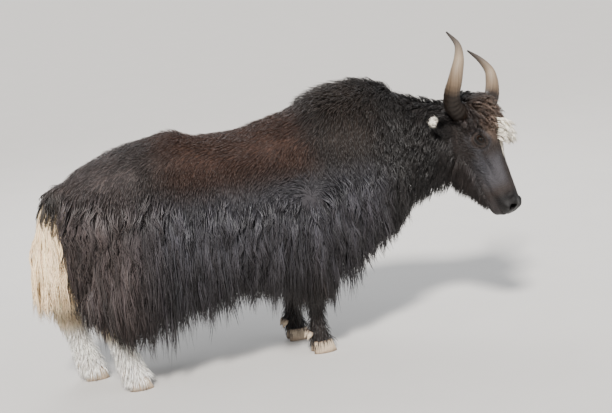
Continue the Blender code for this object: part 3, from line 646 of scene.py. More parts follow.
# Zones laid over the black in turn: tone, strength, then each measure that fades the zone in
# and the two places it fades between. A measure without places is used as it is.
zones = (
    # the flank's blue-black with painted sheen; it fades back to black low on the trunk, painted shade on the
    # skirt
    ("flank", 1.0, ("z", 0.95, 0.82), ("z", 0.5, 0.66)),
    ("saddle", 1.0, ("z", 0.8, 0.97), ("x", 0.42, 0.25), ("x", -0.5, -0.22)),
    ("hump", 1.0, ("x", 0.3, 0.48), ("z", 0.85, 1.02)),
    ("rump", 1.0, ("x", -0.34, -0.6), ("z", 0.46, 0.62)),
    ("nape", 1.0, ("x", 0.58, 0.76)),
    ("shin", 1.0, ("z", 0.5, 0.42)),
    # painted shadow of the skirt's hair: a tan band over the top of the white hind socks
    ("sockTop", 1.0, ("hindLeg",), ("z", 0.385, 0.355)),
    ("sock", 1.0, ("hindLeg",), ("z", 0.33, 0.255)),
    ("tailRoot", 1.0, ("tail",)),
    ("tail", 1.0, ("tail",), ("z", 0.895, 0.825)),
    ("face", 1.0, ("onHead",)),
    ("grizzle", 0.65, ("onHead",), ("headZ", -0.06, -0.01), ("headX", 0.26, 0.19), ("headX", -0.01, 0.03)),
    ("blaze", 1.0, ("onHead",), ("headX", 0.128, 0.146), ("headX", 0.325, 0.3), ("inBlaze", 0.0, 0.012),
     ("headZ", -0.07, -0.05)),
    # painted sheen: grey-blue patches of highlight on the lower cheek, and painted highlight along the folds
    # round the eye and down the cheek
    ("sheen", 0.8, ("onHead",), ("aside", 0.02, 0.06), ("headX", 0.26, 0.32), ("headX", 0.46, 0.4),
     ("headZ", -0.2, -0.12)),
    ("sheen", 0.7, ("onHead",), ("fold",)),
    ("muzzle", 1.0, ("onHead",), ("headX", 0.455, 0.5)),
    ("lip", 0.6, ("onHead",), ("headX", 0.45, 0.49), ("headZ", -0.125, -0.145)),
    ("earTip", 1.0, ("ear", 0.86, 0.92)),
    # the lid ring: the lids' own grey-brown skin, lightened with painted sheen
    ("lid", 0.8, ("eye", 0.05, 0.04)),
    ("eyeRim", 1.0, ("eye", 0.0325, 0.029)),
)
bareSkin = (("headX", 0.51, 0.528), ("headZ", -0.19, -0.172))


def earPlaces(points):
    # how far along an ear each place lies, or minus one off the ears
    inHead = toHead(points)
    share = np.full(len(points), -1.0)
    for side in (-1, 1):
        root, aim = earAxes(side)[:2]
        along = (inHead - root) @ aim
        off = np.linalg.norm(inHead - root - along[:, None] * aim, axis=1)
        on = (along > 0.035) & (off < 0.052) & (along < ears["length"] * 1.3)
        share = np.where(on, along / ears["length"], share)
    return share


def onTail(points):
    x, y, z = points.T
    return (x < -0.775 - 0.25 * np.clip(z - 0.86, 0, 1)) & (np.abs(y) < 0.075) & (z > 0.5) & (z < 0.96)


def eyeDistance(inHead):
    near = [np.linalg.norm(inHead - sided(eyes["place"], side), axis=1) for side in (-1, 1)]
    return np.minimum(*near)


def crestFold(inHead):
    # the lit folds round the eye and down the cheek
    headX, headY, headZ = inHead.T
    line = -0.1 - 0.16 * (headX - 0.24)
    under = np.exp(-((headZ - line) / 0.01) ** 2) * ramp(headX, 0.2, 0.25) * ramp(headX, 0.4, 0.33)
    ring = np.exp(-((eyeDistance(inHead) - 0.047) / 0.006) ** 2)
    return np.clip(under + ring, 0.0, 1.0) * (np.abs(headY) > 0.04)


def measured(points):
    # every measure by which the coat is placed and coloured
    x, y, z = points.T
    inHead = toHead(points)
    headX, headY, headZ = inHead.T
    ahead = (points - neck["headPoint"]) @ neck["headWay"]
    halfBlaze = 0.04 - 0.02 * ramp(headX, 0.235, 0.275) - 0.014 * ramp(headX, 0.27, 0.32)
    return {
        "x": x, "z": z, "fromWaist": np.abs(x + 0.15), "hindLeg": x < -0.35, "tail": onTail(points),
        "ahead": ahead, "onHead": ramp(ahead, -0.02, 0.06), "headX": headX, "headZ": headZ,
        "aside": np.abs(headY), "inBlaze": halfBlaze - np.abs(headY), "fold": crestFold(inHead),
        "ear": earPlaces(points), "eye": eyeDistance(inHead),
    }


def faded(known, rules, amount=1.0):
    # from nought to one as each measure passes between its two places
    for name, *places in rules:
        amount = amount * (ramp(known[name], *places) if places else known[name])
    return amount


def coatTones(points):
    known = measured(points)
    colour = np.tile(tones["black"], (len(points), 1))
    for tone, strength, *rules in zones:
        colour = colour + (tones[tone] - colour) * faded(known, rules, strength)[:, None]
    return colour


def attach(mesh, name, values, kind="FLOAT_VECTOR"):
    # one value to each point, for the materials to read
    if kind == "FLOAT_COLOR":
        values = np.hstack([values, np.ones((len(values), 1))])
    key = {"FLOAT_COLOR": "color", "FLOAT_VECTOR": "vector", "FLOAT": "value"}[kind]
    values = np.ascontiguousarray(values, np.float32)
    mesh.attributes.new(name, kind, "POINT").data.foreach_set(key, values.ravel())


# Materials.
class Finish:
    # a new Principled material, with short ways to add nodes
    def __init__(self, name, **settings):
        self.material = bpy.data.materials.new(name)
        self.material.use_nodes = True
        self.nodes = self.material.node_tree.nodes
        self.links = self.material.node_tree.links
        self.shader = self.nodes["Principled BSDF"]
        self.fill(self.shader, settings)

    def fill(self, node, inputs):
        # sockets by their number, or by name with underscores for spaces
        for name, value in inputs.items():
            socket = node.inputs[name.replace("_", " ") if isinstance(name, str) else name]
            if isinstance(value, bpy.types.NodeSocket):
                self.links.new(value, socket)
            else:
                socket.default_value = value

    def add(self, kind, settings=None, **inputs):
        node = self.nodes.new("ShaderNode" + kind)
        for name, value in (settings or {}).items():
            setattr(node, name, value)
        self.fill(node, inputs)
        return node

    def attribute(self, name, output):
        return self.add("Attribute", {"attribute_name": name}).outputs[output]

    def part(self, vector, axis):
        return self.add("SeparateXYZ", Vector=vector).outputs[axis]

    def scaled(self, vector, scale):
        return self.add("Mapping", Vector=vector, Scale=scale).outputs["Vector"]

    def noise(self, vector, scale, detail, rough=0.6):
        # a scale for each axis stretches the grain
        if isinstance(scale, tuple):
            vector = self.scaled(vector, scale)
            scale = 1.0
        return self.add("TexNoise", Vector=vector, Scale=scale, Detail=detail, Roughness=rough).outputs["Fac"]

    def between(self, value, low, high, fromLow=0.0, fromHigh=1.0):
        return self.add("MapRange", Value=value, From_Min=fromLow, From_Max=fromHigh,
                        To_Min=low, To_Max=high).outputs["Result"]

    def mixed(self, blend, amount, first, second):
        node = self.add("Mix", {"data_type": "RGBA", "blend_type": blend})
        self.fill(node, {0: amount, 6: first, 7: second})
        return node.outputs[2]

    def worked(self, operation, first, second):
        node = self.add("Math", {"operation": operation})
        self.fill(node, {0: first, 1: second})
        return node.outputs[0]

    def length(self, vector):
        return self.add("VectorMath", {"operation": "LENGTH"}, Vector=vector).outputs["Value"]

    def coloured(self, value, stops):
        node = self.add("ValToRGB", Fac=value)
        elements = node.color_ramp.elements
        while len(elements) < len(stops):
            elements.new(0.5)
        for element, (place, colour) in zip(elements, stops):
            element.position = place
            element.color = (*colour, 1.0)
        return node.outputs["Color"]

    def shaded(self, colour, value, *stops, amount=1.0):
        # the colour times a shade that follows the value
        return self.mixed("MULTIPLY", amount, colour, self.coloured(value, stops))

    def bumped(self, height, strength, distance, under=None):
        inputs = {"Strength": strength, "Distance": distance, "Height": height}
        if under is not None:
            inputs["Normal"] = under
        return self.add("Bump", **inputs).outputs["Normal"]

    def done(self, colour, roughness=None, normal=None):
        sockets = {"Base Color": colour, "Roughness": roughness, "Normal": normal}
        self.fill(self.shader, {name: value for name, value in sockets.items() if value is not None})
        return self.material


def hideFinish():
    finish = Finish("shortHairAndBareSkin", Specular_IOR_Level=0.25)
    tone = finish.attribute("hairTone", "Color")
    place = finish.attribute("place", "Vector")
    bare = finish.attribute("bare", "Fac")
    hairs = finish.noise(place, (620.0, 620.0, 150.0), 3.0)
    patches = finish.noise(place, 16.0, 4.0)
    colour = finish.shaded(tone, hairs, (0.3, (0.55, 0.52, 0.5)), (0.68, (1.35, 1.32, 1.3)))
    colour = finish.shaded(colour, patches, (0.3, (0.72, 0.7, 0.68)), (0.72, (1.22, 1.2, 1.18)))
    edges = finish.add("TexVoronoi", {"feature": "DISTANCE_TO_EDGE"}, Vector=place, Scale=300.0)
    pebble = finish.between(edges.outputs["Distance"], 0.0, 1.0, 0.0, 0.25)
    # the bare skin darker in the grooves between the pebbles, painted shade
    skin = finish.shaded(tone, pebble, (0.0, (0.45, 0.43, 0.44)), (0.7, (1.15, 1.12, 1.12)))
    colour = finish.mixed("MIX", bare, colour, skin)
    furry = finish.between(bare, 0.55, 0.0)
    normal = finish.bumped(finish.worked("MULTIPLY", hairs, furry), 0.9, 0.0022)
    normal = finish.bumped(finish.worked("MULTIPLY", pebble, bare), 0.55, 0.0012, normal)
    return finish.done(colour, finish.between(bare, 0.72, 0.4), normal)


def strandFinish(name, roughness, paintedLightRootToTip):
    finish = Finish(name, Specular_IOR_Level=0.5)
    place = finish.attribute("strandPlace", "Vector")
    streak = finish.noise(place, (5.0, 2.2, 90.0), 2.0)
    # the hair's tone times painted shade at the root and painted highlight along the strand
    colour = finish.shaded(finish.attribute("hairTone", "Color"), finish.part(place, "Y"), *paintedLightRootToTip)
    colour = finish.shaded(colour, streak, (0.25, (0.7, 0.69, 0.68)), (0.75, (1.3, 1.29, 1.28)))
    return finish.done(colour, finish.between(streak, roughness - 0.06, roughness + 0.08))


materials = {
    "hide": hideFinish(),
    # each darkened at the root with painted shade and lightened along the strand with painted highlight; the
    # coarse hair's tips turn darker and browner, partly their own brown and partly painted shade under the
    # body
    "coarse": strandFinish("coarseBlackHair", 0.43, (
        (0.0, (0.34, 0.34, 0.36)), (0.38, (1.2, 1.2, 1.22)), (1.0, (0.52, 0.44, 0.4)))),
    "velvet": strandFinish("velvetShortHair", 0.48, (
        (0.0, (0.5, 0.5, 0.5)), (0.55, (1.0, 1.0, 1.0)), (1.0, (1.42, 1.38, 1.36)))),
    "pale": strandFinish("paleTailAndSockHair", 0.52, (
        (0.0, (0.92, 0.91, 0.9)), (0.55, (1.0, 1.0, 1.0)), (1.0, (1.05, 1.05, 1.05)))),
}
hide.data.materials.clear()
hide.data.materials.append(materials["hide"])
hidePoints = pointsOf(hide)
attach(hide.data, "hairTone", coatTones(hidePoints), "FLOAT_COLOR")
attach(hide.data, "bare", faded(measured(hidePoints), bareSkin), "FLOAT")
attach(hide.data, "place", hidePoints)
print("hide painted")


# Roots are sown on the hide's own triangles.
def cornersOf(mesh, what="vertices"):
    mesh.calc_loop_triangles()
    found = np.empty(len(mesh.loop_triangles) * 3, np.int32)
    mesh.loop_triangles.foreach_get(what, found)
    return found.reshape(-1, 3)


corners = cornersOf(hide.data)
hideNormals = normalsOf(hide)
triangles = hidePoints[corners]
edgePairs = triangles[:, 1] - triangles[:, 0], triangles[:, 2] - triangles[:, 0]
areas = 0.5 * np.linalg.norm(np.cross(*edgePairs), axis=1)
middles = triangles.mean(1)
middleNormals = unit(hideNormals[corners].mean(1))
there = measured(middles)
print("hide area:", round(float(areas.sum()), 2), "square metres")


def within(limits):
    # the triangles off the tail whose measures lie between their limits
    found = ~there["tail"]
    for name, (low, high) in limits.items():
        found = found & (there[name] > low) & (there[name] < high)
    return found


def sow(count, weight):
    # roots spread by area times weight, with their normals
    sums = np.cumsum(areas * weight)
    picks = (np.arange(count) + chance.random(count)) / count * sums[-1]
    chosen = np.minimum(np.searchsorted(sums, picks), len(sums) - 1)
    first = np.sqrt(chance.random(count))[:, None]
    second = chance.random(count)[:, None]
    a, b, c = np.moveaxis(triangles[chosen], 1, 0)
    na, nb, nc = np.moveaxis(hideNormals[corners[chosen]], 1, 0)
    roots = a * (1 - first) + b * first * (1 - second) + c * first * second
    return roots, unit(na * (1 - first) + nb * first * (1 - second) + nc * first * second)


def spread(low, high, count):
    return chance.uniform(low, high, count)


def strayed(amount, roots):
    # a small random way at each root
    return spread(-amount, amount, roots.shape)


def varied(lengths, known, rules):
    # each rule: measure, where its change starts, where it is full, the share it adds
    for name, start, full, share in rules:
        lengths = lengths * (1 + share * ramp(known[name], start, full))
    return lengths


def alongSurface(ways, normals):
    return unit(ways - normals * (ways * normals).sum(1, keepdims=True))


def headWays(down, aside, out):
    # ways in the head's frame, turned into the body's
    return np.stack(np.broadcast_arrays(down, aside, out), axis=-1) @ headTurn.T


def drape(roots, starts, falls, lengths, clearances, look):
    # each guide leaves the hide, bends over to its fall and lies on what is below it
    segments = look["segments"]
    turning = look["turning"]
    paths = np.empty((len(roots), segments + 1, 3))
    for index in range(len(roots)):
        place = Vector(roots[index])
        way = Vector(starts[index])
        fall = Vector(falls[index])
        step = lengths[index] / segments
        paths[index, 0] = place
        for segment in range(segments):
            way = (way * (1 - turning) + fall * turning).normalized()
            place = place + way * step
            near, normal = hideTree.find_nearest(place)[:2]
            room = clearances[index] * min(1.0, (segment + 1) * 0.4)
            if (place - near).dot(normal) < room:
                place = near + normal * room
            paths[index, segment + 1] = place
    return paths


def curled(guides, normals, lengths, look, more):
    # a lock's own wave, sideways and in and out, growing from its root
    share = np.linspace(0, 1, guides.shape[1])[None, :]
    shortWave, longWave = look["curlLength"]
    starts = guides[:, 0]
    drift = 0.5 + 0.5 * np.sin(starts @ (13.0, 9.0, 6.0))
    turns = math.tau * share * (lengths / (shortWave + (longWave - shortWave) * drift))[:, None]
    turns = turns + (4.0 * np.sin(starts @ (15.0, 8.0, 5.0)) + spread(-0.9, 0.9, len(guides)))[:, None]
    size = (look["curl"] * more * spread(0.5, 1.0, len(guides)))[:, None] * ramp(share, 0.05, 0.55)
    sideways = unit(np.cross(guides[:, -1] - guides[:, 0], normals))[:, None]
    shifted = guides + sideways * (size * np.sin(turns))[..., None]
    return shifted + normals[:, None] * (0.5 * size * (1 + np.cos(turns)))[..., None]


def follow(guides, guideRoots, roots, look):
    # strands start at their own roots and close up towards the guide beside them
    shades = 1 + spread(-look["uneven"], look["uneven"], len(guideRoots))
    count = len(roots)
    tree = KDTree(len(guideRoots))
    for index, place in enumerate(guideRoots):
        tree.insert(place, index)
    tree.balance()
    nearest = np.array([tree.find(root)[1] for root in roots])
    share = np.linspace(0, 1, look["rings"])
    along = share[None, :] * spread(*look["reach"], count)[:, None] * (guides.shape[1] - 1)
    low = np.minimum(along.astype(int), guides.shape[1] - 2)
    part = (along - low)[..., None]
    path = guides[nearest[:, None], low] * (1 - part) + guides[nearest[:, None], low + 1] * part
    offset = roots - guideRoots[nearest]
    closing = spread(*look["closing"], count)[:, None] * ramp(share, 0.05, 1.0)[None, :]
    path = path + offset[:, None] * (1 - closing)[..., None]
    turns = spread(0, math.tau, count)[:, None] + share[None, :] * spread(*look["waves"], count)[:, None]
    swing = (share[None, :] ** 0.8) * look["swing"] * spread(0.3, 1.0, count)[:, None]
    tangents = unit(path[:, -1] - path[:, 0])
    sideways = unit(np.cross(tangents, offset + 1e-4))
    path += sideways[:, None] * (swing * np.sin(turns))[..., None]
    path += np.cross(tangents, sideways)[:, None] * (swing * 0.7 * np.cos(turns * 1.3))[..., None]
    return path, shades[nearest]


def locks(look, weight, roots, normals, starts, falls, lengths, clearances=None, more=1.0):
    # one curled guide to each root, and the strands of its lock
    if clearances is None:
        clearances = spread(*look["clearance"], len(roots))
    guides = drape(roots, starts, falls, lengths, clearances, look)
    guides = curled(guides, normals, lengths, look, more)
    strands, strandNormals = sow(look["strands"], weight)
    paths, shades = follow(guides, roots, strands, look)
    return {"look": look, "paths": paths, "normals": strandNormals, "roots": strands, "shades": shades}


def comb(roots, normals, lies, lengths, look):
    # short strands: up off the hide, over, and down along the lie
    count = len(roots)
    share = np.linspace(0, 1, look["rings"])[None, :, None]
    lift = (spread(*look["lift"], count) * lengths)[:, None, None]
    long = lengths[:, None, None]
    path = roots[:, None] + lies[:, None] * (long * share)
    path = path + normals[:, None] * (lift * (1 - (1 - share) ** 2) - long ** 2 * look["hug"] * share**2)
    path = path - np.array((0.0, 0.0, 1.0)) * look["sag"] * long * share**2
    turns = spread(0, math.tau, count)[:, None] + share[..., 0] * spread(*look["waves"], count)[:, None]
    swing = look["swing"] * share[..., 0]
    path += np.cross(lies, normals)[:, None] * (swing * np.sin(turns))[..., None]
    path += normals[:, None] * (swing * 0.6 * np.cos(turns))[..., None]
    return {"look": look, "paths": path, "normals": normals, "roots": roots, "shades": np.ones(count)}


bundles = []  # every lot of strands waits here to be made into meshes
floorGap = 0.006  # no strand comes closer to the floor
strandTones = {"mottle": 0.12, "apart": 0.26, "tint": 0.03}


def keep(piece, finish, slotName, lot, own=slice(None), tone=None):
    # one piece's strands, coloured by where they grow unless a tone is named
    look = lot["look"]
    paths, normals, roots, shades = [lot[part][own] for part in ("paths", "normals", "roots", "shades")]
    count = len(paths)
    paths = paths.copy()
    paths[..., 2] = np.maximum(paths[..., 2], floorGap)
    colour = np.tile(tones[tone], (count, 1)) if tone else coatTones(roots)
    dark = 1 - 0.7 * colour.max(1)
    mottle = np.sin(roots @ (31.0, 17.0, 23.0) + 2 * np.sin(roots @ (-19.0, 41.0, 29.0)))
    apart = spread(-strandTones["apart"], strandTones["apart"], count)
    shades = shades * (1 + strandTones["mottle"] * mottle) * (1 + apart)
    tint = spread(-strandTones["tint"], strandTones["tint"], (count, 3))
    colour = colour * (1 + (shades - 1) * dark)[:, None] * (1 + tint)
    bundles.append({
        "piece": piece, "finish": finish, "slot": slotName, "paths": paths, "normals": normals,
        "roots": roots, "colour": np.clip(colour, 0.0, 1.0), "look": look,
        "widths": spread(*look["width"], count), "twists": spread(-look["twist"], look["twist"], count),
    })


# The long coat of flank, thigh, shoulder and breast.
longCoat = {
    # x, height of the hem
    "hem": (
        (-0.83, 0.43), (-0.76, 0.38), (-0.6, 0.25), (-0.4, 0.222), (-0.23, 0.27), (-0.11, 0.315),
        (0.08, 0.322), (0.2, 0.262), (0.4, 0.28), (0.5, 0.35), (0.62, 0.46), (0.8, 0.6),
    ),
    # x, height where the long hair begins
    "tops": ((-0.8, 0.94), (-0.45, 0.92), (-0.25, 0.85), (0.05, 0.83), (0.3, 0.8), (0.6, 0.88)),
    "within": {"x": (-0.84, 9.0), "z": (0.43, 9.0), "ahead": (-9.0, -0.18)},
    "thinning": (0.8, 0.7),  # x where the breast's hair ends
    "topBlend": 0.14,
    "whorl": np.array((0.288, 0.3, 0.7)),
    "bellyFacing": -0.45, "bellyShare": 0.5,  # the underside gets fewer strands
    "bellyLength": 0.96, "sideLength": 1.1,
    "sweep": 0.22, "sweepEdge": (-0.25, 0.45), "backward": -0.03,  # how the locks lean as they fall
    "guides": 2600, "strands": 24500, "segments": 8, "turning": 0.42, "rings": 5,
    "shortest": 0.09, "extra": 0.045, "fullAt": 0.26, "vary": (0.84, 1.06), "rise": (0.1, 0.38),
    "lowest": 0.005, "layers": 0.018, "ridgeHeight": 0.022, "ridgePaintedLight": 0.45,
    "reach": (0.7, 1.04), "closing": (0.25, 0.97), "waves": (3.0, 9.0), "swing": 0.008,
    "width": (0.0028, 0.0052), "thick": 0.32, "twist": 1.0,
    "curl": 0.017, "rearCurl": 0.6, "rearEdge": (-0.25, -0.45), "curlLength": (0.08, 0.15), "uneven": 0.35,
    "parts": (("Hindquarters", -9, -0.38), ("Barrel", -0.38, 0.18), ("Forequarters", 0.18, 9)),
}


def ridges(points):
    # from nought in the furrows to one on the ridges of the hanging locks
    x, y, z = points.T
    wide = np.sin(x * 62.0 + 2.2 * np.sin(z * 7.0 + x * 5.0) + 14.0 * y)
    return 0.5 + 0.5 * (0.7 * wide + 0.3 * np.sin(x * 141.0 + 4.0 * np.sin(z * 5.0)))


def fanned(roots, normals):
    # back and down over the trunk, away from the whorl on the shoulder
    sideSign = np.sign(roots[:, 1:2])
    one = np.ones_like(sideSign)
    top = ramp(normals[:, 2:3], 0.35, 0.92)
    lie = np.array((-0.28, 0.0, -1.0)) * (1 - top) + np.hstack([-one, sideSign * 0.35, 0 * one]) * top
    away = roots - longCoat["whorl"] * np.hstack([one, sideSign, one])
    away[:, 1] = 0
    near = 0.8 * np.exp(-((away**2).sum(1, keepdims=True)) / 0.24**2)
    away[:, 2] -= 0.06
    return alongSurface(unit(lie) * (1 - near * 0.85) + unit(away) * near * 1.1, normals)


def longTop(points):
    # the uneven line on the flank where the long hair begins
    x, y, z = points.T
    uneven = 0.022 * np.sin(x * 23.0 + 2.0 * np.sin(y * 9.0)) + 0.016 * np.sin(x * 57.0 + 1.3)
    return np.interp(x, *np.array(longCoat["tops"]).T) + uneven


def growLongCoat():
    belly = middleNormals[:, 2] < longCoat["bellyFacing"]
    weight = within(longCoat["within"]) * ramp(longTop(middles) - there["z"], 0.0, longCoat["topBlend"])
    weight = weight * np.where(belly, longCoat["bellyShare"], 1.0) * ramp(there["x"], *longCoat["thinning"])
    roots, normals = sow(longCoat["guides"], weight)
    x, y, z = roots.T
    hem = np.interp(x, *np.array(longCoat["hem"]).T)
    belly = normals[:, 2] < longCoat["bellyFacing"]
    full = (z - hem) * np.where(belly, longCoat["bellyLength"], longCoat["sideLength"]) + longCoat["extra"]
    share = ramp(longTop(roots) - z, 0.0, longCoat["fullAt"])
    lengths = longCoat["shortest"] * (1 - share) + full * share
    lengths *= spread(*longCoat["vary"], len(roots))
    starts = unit(fanned(roots, normals) + normals * spread(*longCoat["rise"], len(roots))[:, None])
    falls = np.zeros_like(roots)
    falls[:, 0] = longCoat["sweep"] * (x - longCoat["whorl"][0]) * ramp(x, *longCoat["sweepEdge"])
    falls[:, 0] += longCoat["backward"]
    falls[:, 2] = -1
    clearances = longCoat["lowest"] + longCoat["layers"] * chance.random(len(roots))
    clearances = clearances + longCoat["ridgeHeight"] * ridges(roots)
    more = 1 + longCoat["rearCurl"] * ramp(x, *longCoat["rearEdge"])
    lot = locks(longCoat, weight, roots, normals, starts, unit(falls), lengths, clearances, more)
    x, y, z = lot["roots"].T
    # painted highlight on the ridges of the hanging locks and painted shade in their furrows
    lot["shades"] = lot["shades"] + longCoat["ridgePaintedLight"] * (ridges(lot["roots"]) - 0.5)
    for name, low, high in longCoat["parts"]:
        for side, word in bothSides:
            own = (x >= low) & (x < high) & (y * side >= 0)
            keep("longHair" + name + word.title(), "coarse", name.lower(), lot, own)


growLongCoat()
print("long coat combed")


# The shorter coat of back, hump and rump.
backCoat = {
    "within": {"x": (-0.84, 9.0), "z": (0.68, 9.0), "ahead": (-9.0, -0.16)},
    "lowEdge": (0.72, 0.82),
    "hump": (("x", 0.25, 0.45), ("z", 1.0, 1.15)),
    "humpFrom": 0.12, "flankEdge": (0.92, 0.78),
    "strands": 28000, "length": (0.034, 0.056), "humpLength": 0.022, "flankLength": 0.022,
    "rings": 3, "lift": (0.1, 0.26), "humpLift": 0.28, "hug": 1.6, "sag": 0.03, "waves": (1.0, 4.0),
    "swing": 0.003, "width": (0.002, 0.0036), "thick": 0.34, "twist": 0.7, "stray": 0.16, "wander": 0.22,
}


def growBackCoat():
    weight = within(backCoat["within"]) * ramp(there["z"], *backCoat["lowEdge"])
    roots, normals = sow(backCoat["strands"], weight)
    x, y, z = roots.T
    hump = faded({"x": x, "z": z}, backCoat["hump"])
    lengths = spread(*backCoat["length"], len(roots)) + hump * backCoat["humpLength"]
    lengths += ramp(z, *backCoat["flankEdge"]) * backCoat["flankLength"]
    wander = np.sin(roots * 21.0 + roots[:, [1, 2, 0]] * 17.0) + 0.4 * np.sin(roots[:, [2, 0, 1]] * 47.0)
    wander = unit(wander)
    lies = unit(fanned(roots, normals) + backCoat["wander"] * wander + strayed(backCoat["stray"], roots))
    lies = unit(lies + normals * (hump * backCoat["humpLift"])[:, None])
    lot = comb(roots, normals, lies, lengths, backCoat)
    rear = x < backCoat["humpFrom"]
    for side, word in bothSides:
        half = y * side >= 0
        for part, slotName, own in (("back", "barrel", rear & half), ("hump", "forequarters", ~rear & half)):
            keep(part + "Hair" + word.title(), "velvet", slotName, lot, own)


growBackCoat()
print("back and hump combed")


# The mane of the neck and the long hair of the throat.
mane = {
    "within": {"x": (0.64, 9.0), "z": (0.5, 9.0), "ahead": (-0.45, 0.03), "ear": (-9.0, 0.0)},
    "guides": 620, "strands": 9300, "segments": 6, "turning": 0.34, "rings": 4,
    "sideLength": 0.08, "throatLength": 0.098, "crestLength": 0.062, "vary": (0.8, 1.15),
    "rise": (0.35, 0.75), "clearance": (0.008, 0.024),
    "throatFacing": (-0.1, -0.6), "crestFacing": (0.45, 0.85),
    "sideLie": np.array((-0.55, 0.0, -0.9)), "crestLie": np.array((-0.6, 0.0, 0.8)),
    "sideFall": np.array((-0.3, 0.0, -1.0)), "crestFall": np.array((-0.9, 0.0, 0.6)),
    "reach": (0.62, 1.05), "closing": (0.0, 0.7), "waves": (2.0, 7.0), "swing": 0.006,
    "width": (0.002, 0.0036), "thick": 0.34, "twist": 1.0,
    "curl": 0.008, "curlLength": (0.06, 0.11), "uneven": 0.35,
}


def growMane():
    weight = within(mane["within"])
    roots, normals = sow(mane["guides"], weight)
    under = ramp(normals[:, 2], *mane["throatFacing"])
    above = ramp(normals[:, 2], *mane["crestFacing"])
    lengths = mane["sideLength"] + under * (mane["throatLength"] - mane["sideLength"])
    lengths = lengths + above * (mane["crestLength"] - mane["sideLength"])
    lengths = lengths * spread(*mane["vary"], len(roots))
    lie = mane["sideLie"] + above[:, None] * mane["crestLie"]
    starts = unit(alongSurface(lie, normals) + normals * spread(*mane["rise"], len(roots))[:, None])
    falls = unit(mane["sideFall"] + above[:, None] * mane["crestFall"])
    keep("maneHair", "coarse", "neck", locks(mane, weight, roots, normals, starts, falls, lengths))


growMane()
print("mane combed")


# The head: curls, white forelock, cheeks, beard, ears and lashes.
onFace = (there["ahead"] > -0.02) * (there["ear"] < 0)


pollCurls = {
    "where": (
        ("headZ", -0.135, -0.085), ("headX", 0.19, 0.16), ("aside", 0.135, 0.115), ("eye", 0.048, 0.06),
    ),
    "guides": 260, "strands": 3500, "segments": 7, "turning": 0.2, "rings": 5, "reach": (0.7, 1.08),
    "closing": (0.1, 0.85), "waves": (4.0, 11.0), "swing": 0.007, "width": (0.0017, 0.003), "thick": 0.36,
    "twist": 1.4, "length": (0.05, 0.082), "curl": 0.01, "curlLength": (0.03, 0.05), "uneven": 0.45,
    "rise": (0.8, 1.2), "flat": 0.45, "stray": 0.45, "clearance": (0.01, 0.026),
    # ways down the face, to its side and out of it
    "parting": (0.8, 4.0, 0.1), "fall": (0.95, 0.0, 0.25),
    "backward": (-0.7, 0.0, 0.6), "backEdge": (0.07, 0.0),
    "lengthBy": (("headX", 0.07, 0.15, -0.5), ("headZ", -0.045, -0.085, -0.45), ("headX", 0.07, 0.02, 0.2)),
}


def parted(roots, look):
    # ways that part to both sides of the face's middle line
    down, aside, out = look["parting"]
    return headWays(down, toHead(roots)[:, 1] * aside, out)


def growPoll():
    weight = faded(there, pollCurls["where"], onFace)
    roots, normals = sow(pollCurls["guides"], weight)
    known = measured(roots)
    flow = alongSurface(parted(roots, pollCurls), normals) * pollCurls["flat"]
    starts = unit(flow + normals * spread(*pollCurls["rise"], len(roots))[:, None])
    behind = ramp(known["headX"], *pollCurls["backEdge"])[:, None]
    starts = unit(starts + headWays(*pollCurls["backward"]) * behind)
    lengths = varied(spread(*pollCurls["length"], len(roots)), known, pollCurls["lengthBy"])
    falls = unit(headWays(*pollCurls["fall"]) + strayed(pollCurls["stray"], roots))
    keep("pollCurls", "coarse", "head", locks(pollCurls, weight, roots, normals, starts, falls, lengths))


forelock = {
    "where": (("headX", 0.122, 0.14), ("headX", 0.242, 0.22), ("aside", 0.058, 0.044)), "lowest": -0.06,
    "guides": 60, "strands": 1800, "segments": 7, "turning": 0.22, "rings": 5, "reach": (0.6, 1.06),
    "closing": (0.1, 0.75), "waves": (2.0, 7.0), "swing": 0.008, "width": (0.003, 0.005), "thick": 0.34,
    "twist": 1.4, "length": (0.072, 0.104), "curl": 0.008, "curlLength": (0.05, 0.08), "uneven": 0.1,
    "rootStray": 0.22, "stray": 0.18, "clearance": (0.012, 0.04),
    "parting": (0.3, 12.0, 0.95), "fall": (0.95, 0.0, 0.1), "lengthBy": (("headX", 0.18, 0.23, -0.3),),
}


def growForelock():
    weight = faded(there, forelock["where"], onFace) * (there["headZ"] > forelock["lowest"])
    roots, normals = sow(forelock["guides"], weight)
    starts = unit(parted(roots, forelock) + strayed(forelock["rootStray"], roots))
    falls = unit(headWays(*forelock["fall"]) + strayed(forelock["stray"], roots))
    lengths = varied(spread(*forelock["length"], len(roots)), measured(roots), forelock["lengthBy"])
    lot = locks(forelock, weight, roots, normals, starts, falls, lengths)
    keep("whiteForelock", "pale", "head", lot, tone="blaze")


faceHair = {
    "where": (("headX", 0.528, 0.505),), "eyeEdge": (0.034, 0.042), "curlsGap": 0.8,
    "strands": 12000, "rings": 3, "lift": (0.1, 0.24), "hug": 3.0, "sag": 0.0, "waves": (0.0, 2.0),
    "swing": 0.0012, "width": (0.0012, 0.0021), "thick": 0.36, "twist": 0.6, "length": (0.01, 0.016),
    "stray": 0.16,
    # the flow down the face, to its side and out of it, on the front and what the cheek adds
    "flow": (0.7, 3.0, -0.1), "cheekFlow": (-1.5, 0.0, -0.75), "cheek": (-0.05, -0.12), "cheekExtra": 1.3,
    "muzzleShare": 0.5, "browShare": 0.75, "browEdge": (0.46, 0.22), "cheekEdge": (0.46, 0.34),
}


